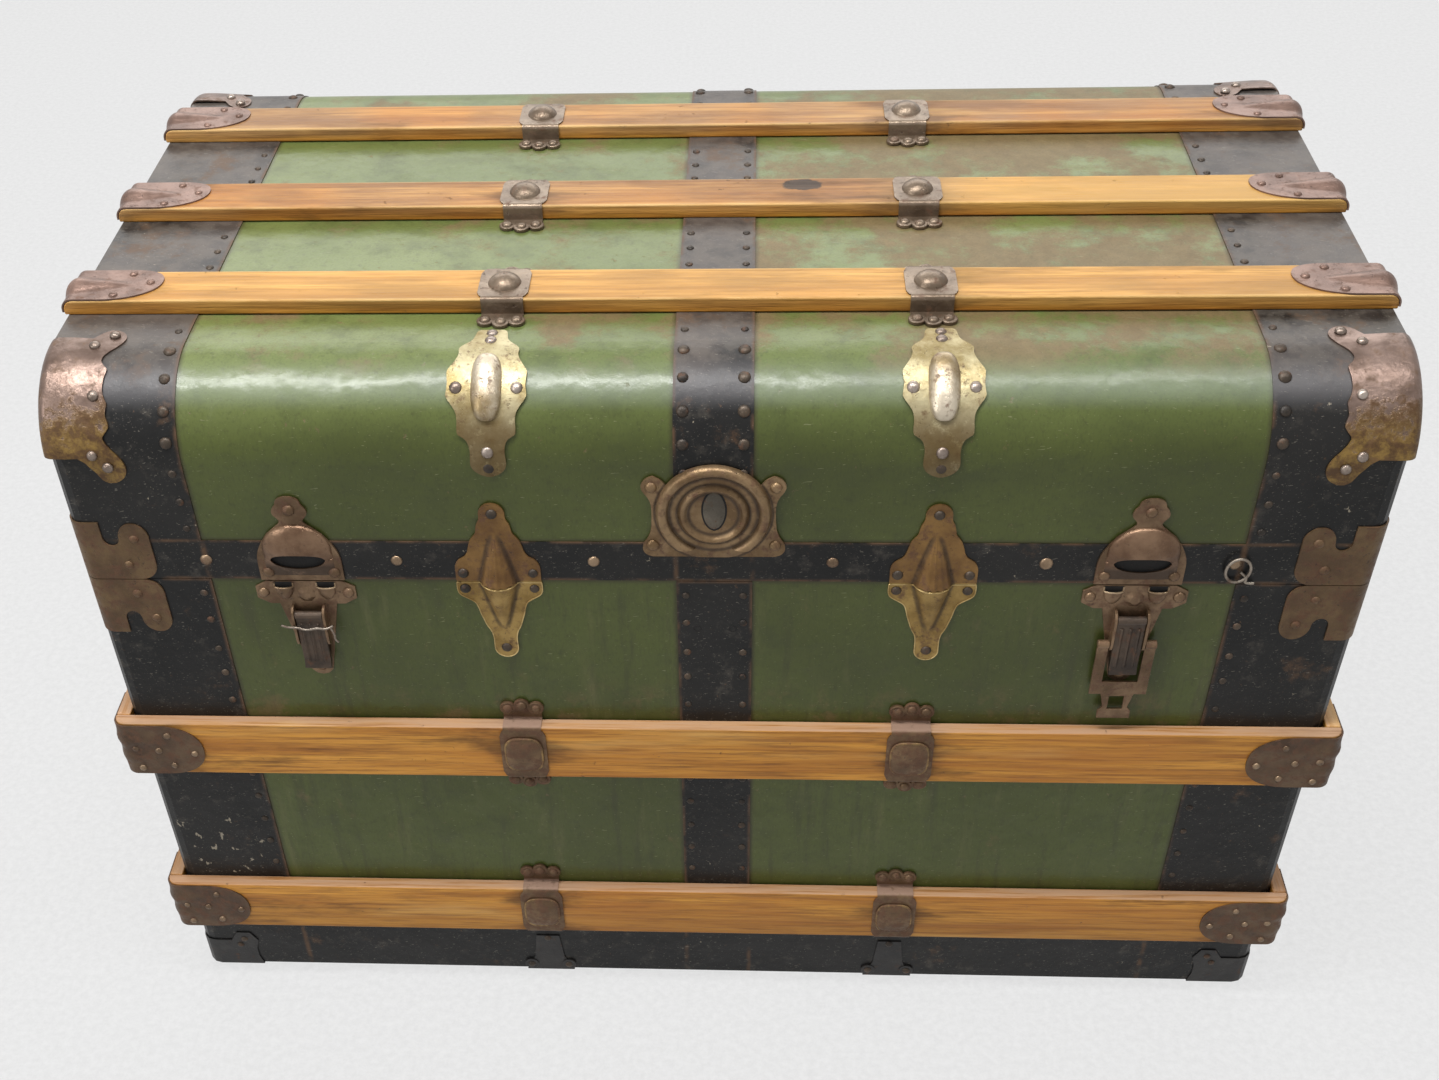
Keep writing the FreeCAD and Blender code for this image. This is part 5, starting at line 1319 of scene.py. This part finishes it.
# Half widths of the catch plates by the height above the seam, in millimetres.
CATCH_SIDE = (
    (0, 30.4), (10, 30.4), (18, 30.2), (24, 29.2), (30, 26.8), (36, 23.2), (42, 18.4), (47, 13), (50, 9.8),
    (52.5, 8.4), (55, 9.6), (58, 12), (61, 12.4), (64, 11.2), (66.5, 9.2), (69, 8.6), (71, 7.4), (72.6, 5),
    (73.4, 2),
)
SLIT_HALF = 19.5
SLIT_Z = 20.0
SLIT_RISE = 8.0
HOOD_HALF = 25.0
HOOD_Z = 28.0
HOOD_TOP = 21.5
HOOD_RISE = 8.2


def hood_out(x, z):
    """How far a catch's hood stands out, in millimetres, at a place on the catch."""
    across = 1 - (x / HOOD_HALF) ** 2
    if z >= HOOD_Z:
        share = max(0.0, across - ((z - HOOD_Z) / HOOD_TOP) ** 2) ** 0.6
    else:
        share = max(0.0, across) ** 0.6 * max(0.0, (z - 4) / 24) ** 1.1
    return 1.4 + HOOD_RISE * share


def catches():
    """Catch plates with smooth hoods, each with its half-moon slit and a dark sheet of painted shade behind
    it.
    """
    hood = bmesh.new()
    hollow_shade = bmesh.new()
    flats = bmesh.new()
    spots = []
    sides = [(z, smooth_at(CATCH_SIDE, z) * MM) for z in steps(0.0, 73.4, 70)]
    dark = [(z, 21 * math.sqrt(max(0.01, 1 - ((z - SLIT_Z) / 11) ** 2)) * MM) for z in steps(9.4, 30.6, 16)]
    upper, lower = [], []
    for x in steps(-24.9, 24.9, 50):
        gape = SLIT_RISE * arch(x / SLIT_HALF)
        upper.append([(x, z) for z in steps(SLIT_Z + gape, HOOD_Z + HOOD_TOP * arch(x / HOOD_HALF), 26)])
        lower.append([(x, z) for z in steps(3.0, SLIT_Z - gape, 14)])
    for side in SIDES:
        x0 = side * LATCH_X
        flat_patch(flats, [(LID_Z + z * MM, x0 - half, x0 + half) for z, half in sides], PLATE_T)
        for grid in (upper, lower):
            faces = []
            for thin in (0.0, 1.2):
                faces.append([[
                    (x0 + x * MM, -HALF_Y - max(hood_out(x, z) - thin, 0.4) * MM, LID_Z + z * MM)
                    for x, z in row] for row in grid])
            shell(hood, *faces)
        # A dark sheet of painted shade behind each slit.
        flat_patch(hollow_shade, [(LID_Z + z * MM, x0 - half, x0 + half) for z, half in dark], PLATE_T + 0.2 * MM)
        spots += [on_front(x0 + dx, LID_Z + up, PLATE_T) for dx, up in in_mm(((-24, 7), (24, 7), (0, 62)))]
    made = piece("catch_flats", "lid", flats, LATCH_METAL, 38)
    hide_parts("latch_catches")
    piece("catch_hoods", "lid", hood, HOOD_METAL, 40)
    piece("catch_hollows", "lid", hollow_shade, SHADE, 40)
    nails("catch_nails", "lid", spots, 4.2, LATCH_METAL, 0.6)


def latch_details():
    """Nails of the latch plates, and the cups beside each post with dark sheets of painted shade in their
    notches and openings, and bright lips.
    """
    spots = []
    cups = bmesh.new()
    mouth_shades = bmesh.new()
    wall = COVER_Y + PLATE_T
    wide, proud, deep, drop = 6.8 * MM, 2.9 * MM, 11.5 * MM, 6.0 * MM
    turns = [(math.cos(u), math.sin(u)) for u in steps(0.0, math.pi, 14)]
    lip_top = SEAM_Z - 2 * MM
    for side in SIDES:
        x0 = side * LATCH_X
        for dx, z in ((-31, SEAM_Z - 11.5 * MM), (31, SEAM_Z - 11.5 * MM), (0, LATCH_FOOT + 8.5 * MM)):
            spots.append(on_front(x0 + dx * MM, z, PLATE_T, COVER_Y))
        for letter, dx in (("a", -15.5), ("b", 15.5)):
            x1 = x0 + dx * MM
            rings = []
            for v in steps(0.0, QUARTER, 10):
                narrow = math.cos(v)
                z = SEAM_Z - drop - deep * math.sin(v)
                ring = [(x1 + wide * c * narrow, -wall - proud * s * narrow, z) for c, s in turns]
                rings.append([cups.verts.new(point) for point in ring])
            join_rings(cups, rings, closed=False)
            lip = [(x1 + wide * c, -wall - proud * s, SEAM_Z - drop + 0.3 * MM) for c, s in turns]
            lip = [(*lip[0][:2], lip_top)] + lip + [(*lip[-1][:2], lip_top)]
            wire("cup_lip_" + str(len(spots)) + letter, "base", lip, 0.75 * MM, LIP_METAL)
            # Dark sheets of painted shade: one over the notch above each cup, one across its opening.
            mouth = [(z, x1 - wide, x1 + wide) for z in (SEAM_Z - 1.6 * MM, SEAM_Z - drop - 1.5 * MM)]
            flat_patch(mouth_shades, mouth, 0.25 * MM, wall)
            rows = []
            for r in (0.02, 1.0):
                rows.append([
                    (x1 + 0.94 * wide * c * r, -wall - 0.94 * proud * s * r, SEAM_Z - drop - 0.4 * MM)
                    for c, s in turns])
            shell(mouth_shades, rows, [[(x, y, z - 0.5 * MM) for x, y, z in row] for row in rows])
    piece("latch_cups", "base", cups, LATCH_METAL)
    piece("latch_cup_mouths", "base", mouth_shades, SHADE, 40)
    nails("latch_plate_nails", "base", spots, 4.4, LATCH_METAL, 0.6)


# Bends of what is left of the left latch's wire, in millimetres: across, out from the wall, below the seam.
LATCH_WIRES = {
    "left_latch_wire": (
        (-21, 10, 36), (-17, 10, 38), (-10, 11.5, 36.5), (-2, 12.5, 38.5),
        (6, 12, 36.5), (12, 11, 39), (17, 9, 37)),
    "left_latch_wire_end": ((15, 9.5, 38), (17.5, 10, 44), (16.5, 9, 50), (18, 7, 54)),
}


def wires():
    """The ring bent round a rim nail, and what is left of the left latch's wire."""
    ring = []
    for k in range(14):
        c, s = math.cos(2 * math.pi * k / 14), math.sin(2 * math.pi * k / 14)
        y = -HALF_Y - 3.2 * MM - 1.0 * MM * s
        ring.append((RING_NAIL_X + (2 + 8.5 * c) * MM, y, RIM_NAIL_Z + (11.0 * s - 3) * MM))
    wire("rim_wire_ring", "lid", ring, 1.1 * MM, STEEL, True)
    bends = in_mm(((4, 12), (10, 7), (8, 1.5), (15, 2.0)))
    tail = [(RING_NAIL_X + x, -HALF_Y - 2.0 * MM, LID_Z + z) for x, z in bends]
    wire("rim_wire_tail", "lid", tail, 1.0 * MM, STEEL)
    for name, points in LATCH_WIRES.items():
        places = [(-LATCH_X + x * MM, -COVER_Y - out * MM, SEAM_Z - down * MM) for x, out, down in points]
        wire(name, "base", places, 0.9 * MM, STEEL)


def handles():
    """Bowed leather straps with rolled edges, run under their loops, and the stitching near both edges."""
    half_w = 15 * MM
    thick = 5 * MM
    tail = 32 * MM
    bow = HANDLE_OUT - COVER_X - thick
    free = HANDLE_END - tail
    count, facets, thread_facets = 64, 20, 6
    stitch, pitch, inset = 4.2 * MM, 6.0 * MM, 6 * MM
    row_at, thread_r = 10.2 * MM, 0.55 * MM

    def rise(y):
        """How far the strap's back stands out from its seat."""
        return bow * (1 - min(1.0, abs(y) / free) ** 2.2) ** 1.5

    for side, name in ((1, "right"), (-1, "left")):
        bm = bmesh.new()
        rings = []
        for k in range(count + 1):
            y = HANDLE_END * (2 * k / count - 1)
            swell = 1 - 0.10 * (1 - math.cos(math.pi * min(1.0, abs(y) / free))) / 2
            width = half_w * (swell if abs(y) < free else 0.90)
            ring = []
            for j in range(facets):
                a = 2 * math.pi * j / facets
                across = width * bent(math.cos(a), 0.35)
                out = thick / 2 + thick / 2 * 0.98 * bent(math.sin(a), 0.5)
                wave = 0.5 * MM * math.sin(y * 90 + across * 200)
                x = side * (COVER_X + out + rise(y) + wave * rise(y) / bow)
                ring.append(bm.verts.new((x, y, HANDLE_Z + across)))
            rings.append(ring)
        tube(bm, rings)
        strap = piece(name + "_leather_handle", "base", bm, LEATHER, None)
        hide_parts(name + "_handle")
        bm = bmesh.new()
        for edge in SIDES:
            y = -free + inset
            while y < free - inset:
                rings = []
                for k in range(5):
                    at = y + stitch * k / 4
                    fat = thread_r * math.sqrt(max(0.05, 1 - (k / 2 - 1) ** 2))
                    centre = Vector((side * (COVER_X + thick + rise(at)), at, HANDLE_Z + edge * row_at))
                    ring = []
                    for j in range(thread_facets):
                        b = 2 * math.pi * j / thread_facets
                        aside = Vector((side * fat * math.cos(b), 0, fat * math.sin(b)))
                        ring.append(bm.verts.new(centre + aside))
                    rings.append(ring)
                tube(bm, rings)
                y += pitch
        piece(name + "_handle_stitches", "base", bm, THREAD, None)
    at = HANDLE_END - tail / 2
    loops = [on_side(y, HANDLE_Z + dz * MM, PLATE_T, COVER_X) for y in (at, -at) for dz in (24, -24)]
    nails("loop_nails", "base", mirrored(loops, y=False), 3.8, STEEL)


def hinge_nails():
    """Nails of the hinge leaves on the back."""
    for name, body, wall, z in (
        ("upper_hinge_nails", "lid", HALF_Y, LID_Z + 21 * MM),
        ("lower_hinge_nails", "base", COVER_Y, SEAM_Z - 21 * MM),
    ):
        places = [side * HINGE_X + dx * MM for side in SIDES for dx in (-20, 0, 20)]
        spots = [(Vector((x, wall + PLATE_T, z)), Vector((0, 1, 0))) for x in places]
        nails(name, body, spots, 3.4, STEEL)


def stage():
    """The floor, and a white world that is brighter where it is seen than where it lights."""
    mesh = bpy.data.meshes.new("floor")
    around = ((-1, -1), (1, -1), (1, 1), (-1, 1))
    mesh.from_pydata([(x * FLOOR_HALF, y * FLOOR_HALF, 0) for x, y in around], [], [(0, 1, 2, 3)])
    mesh.materials.append(floor_paper())
    floor = added("floor", mesh)
    world = bpy.data.worlds.new("studio")
    bpy.context.scene.world = world
    world.use_nodes = True
    tree = world.node_tree
    back = tree.nodes["Background"]
    rays = tree.nodes.new("ShaderNodeLightPath").outputs
    seen = rays[SEEN_RAYS[0]]
    for ray in SEEN_RAYS[1:]:
        both = tree.nodes.new("ShaderNodeMath")
        both.operation = "MAXIMUM"
        tree.links.new(seen, both.inputs[0])
        tree.links.new(rays[ray], both.inputs[1])
        seen = both.outputs[0]
    level = tree.nodes.new("ShaderNodeMapRange")
    tree.links.new(seen, level.inputs[0])
    level.inputs[3].default_value = WORLD_LIGHT
    level.inputs[4].default_value = WORLD_SEEN
    tree.links.new(level.outputs[0], back.inputs["Strength"])
    back.inputs["Color"].default_value = (1.0, 1.0, 1.0, 1.0)


def lamp(name, at, target, size, power):
    """Oblong lamp that looks at the target."""
    light = bpy.data.lights.new(name, "AREA")
    light.shape = "RECTANGLE"
    light.size, light.size_y = size
    light.energy = power
    made = added(name, light)
    made.location = at
    made.rotation_euler = (Vector(target) - Vector(at)).to_track_quat("-Z", "Y").to_euler()


def add_camera():
    """The photograph's camera."""
    flat = math.cos(CAMERA_PITCH)
    forward = Vector((math.sin(CAMERA_YAW) * flat, math.cos(CAMERA_YAW) * flat, -math.sin(CAMERA_PITCH)))
    level = Vector((math.cos(CAMERA_YAW), -math.sin(CAMERA_YAW), 0))
    upright = level.cross(forward)
    right = level * math.cos(CAMERA_ROLL) + upright * math.sin(CAMERA_ROLL)
    up = upright * math.cos(CAMERA_ROLL) - level * math.sin(CAMERA_ROLL)
    data = bpy.data.cameras.new("photo_camera")
    data.sensor_width = SENSOR
    data.lens = FOCAL_PIXELS * SENSOR / PHOTO_W
    data.shift_x = -CENTRE_PIXELS[0] / PHOTO_W
    data.shift_y = CENTRE_PIXELS[1] / PHOTO_W
    camera = added("photo_camera", data)
    axes = Matrix((right, up, -forward)).transposed().to_4x4()
    axes.translation = CAMERA_AT
    camera.matrix_world = axes
    bpy.context.scene.camera = camera


dress_frame()
band_nails()
clamp_nails()
clamps()
clamp_domes()
cap_nails()
top_caps()
corner_nails()
corner_plates()
slat_caps()
bumpers()
shields()
guides()
lock()
catches()
latch_details()
wires()
handles()
hinge_nails()
stage()
lamp("strip", (0.0, -0.40, 2.4), (0.0, -0.1, 0.6), (2.6, 0.20), STRIP_POWER)
lamp("left_strip", (-0.6, -0.50, 2.45), (-0.6, -0.1, 0.6), (1.4, 0.20), LEFT_POWER)
lamp("back", (0.0, 2.4, 2.3), (0.0, 0.0, 0.5), (4.0, 1.6), BACK_POWER)
lamp("fill", (-2.6, -1.9, 2.0), (0.0, 0.0, 0.3), (1.4, 1.2), FILL_POWER)
add_camera()
bpy.context.scene.view_settings.view_transform = "Standard"
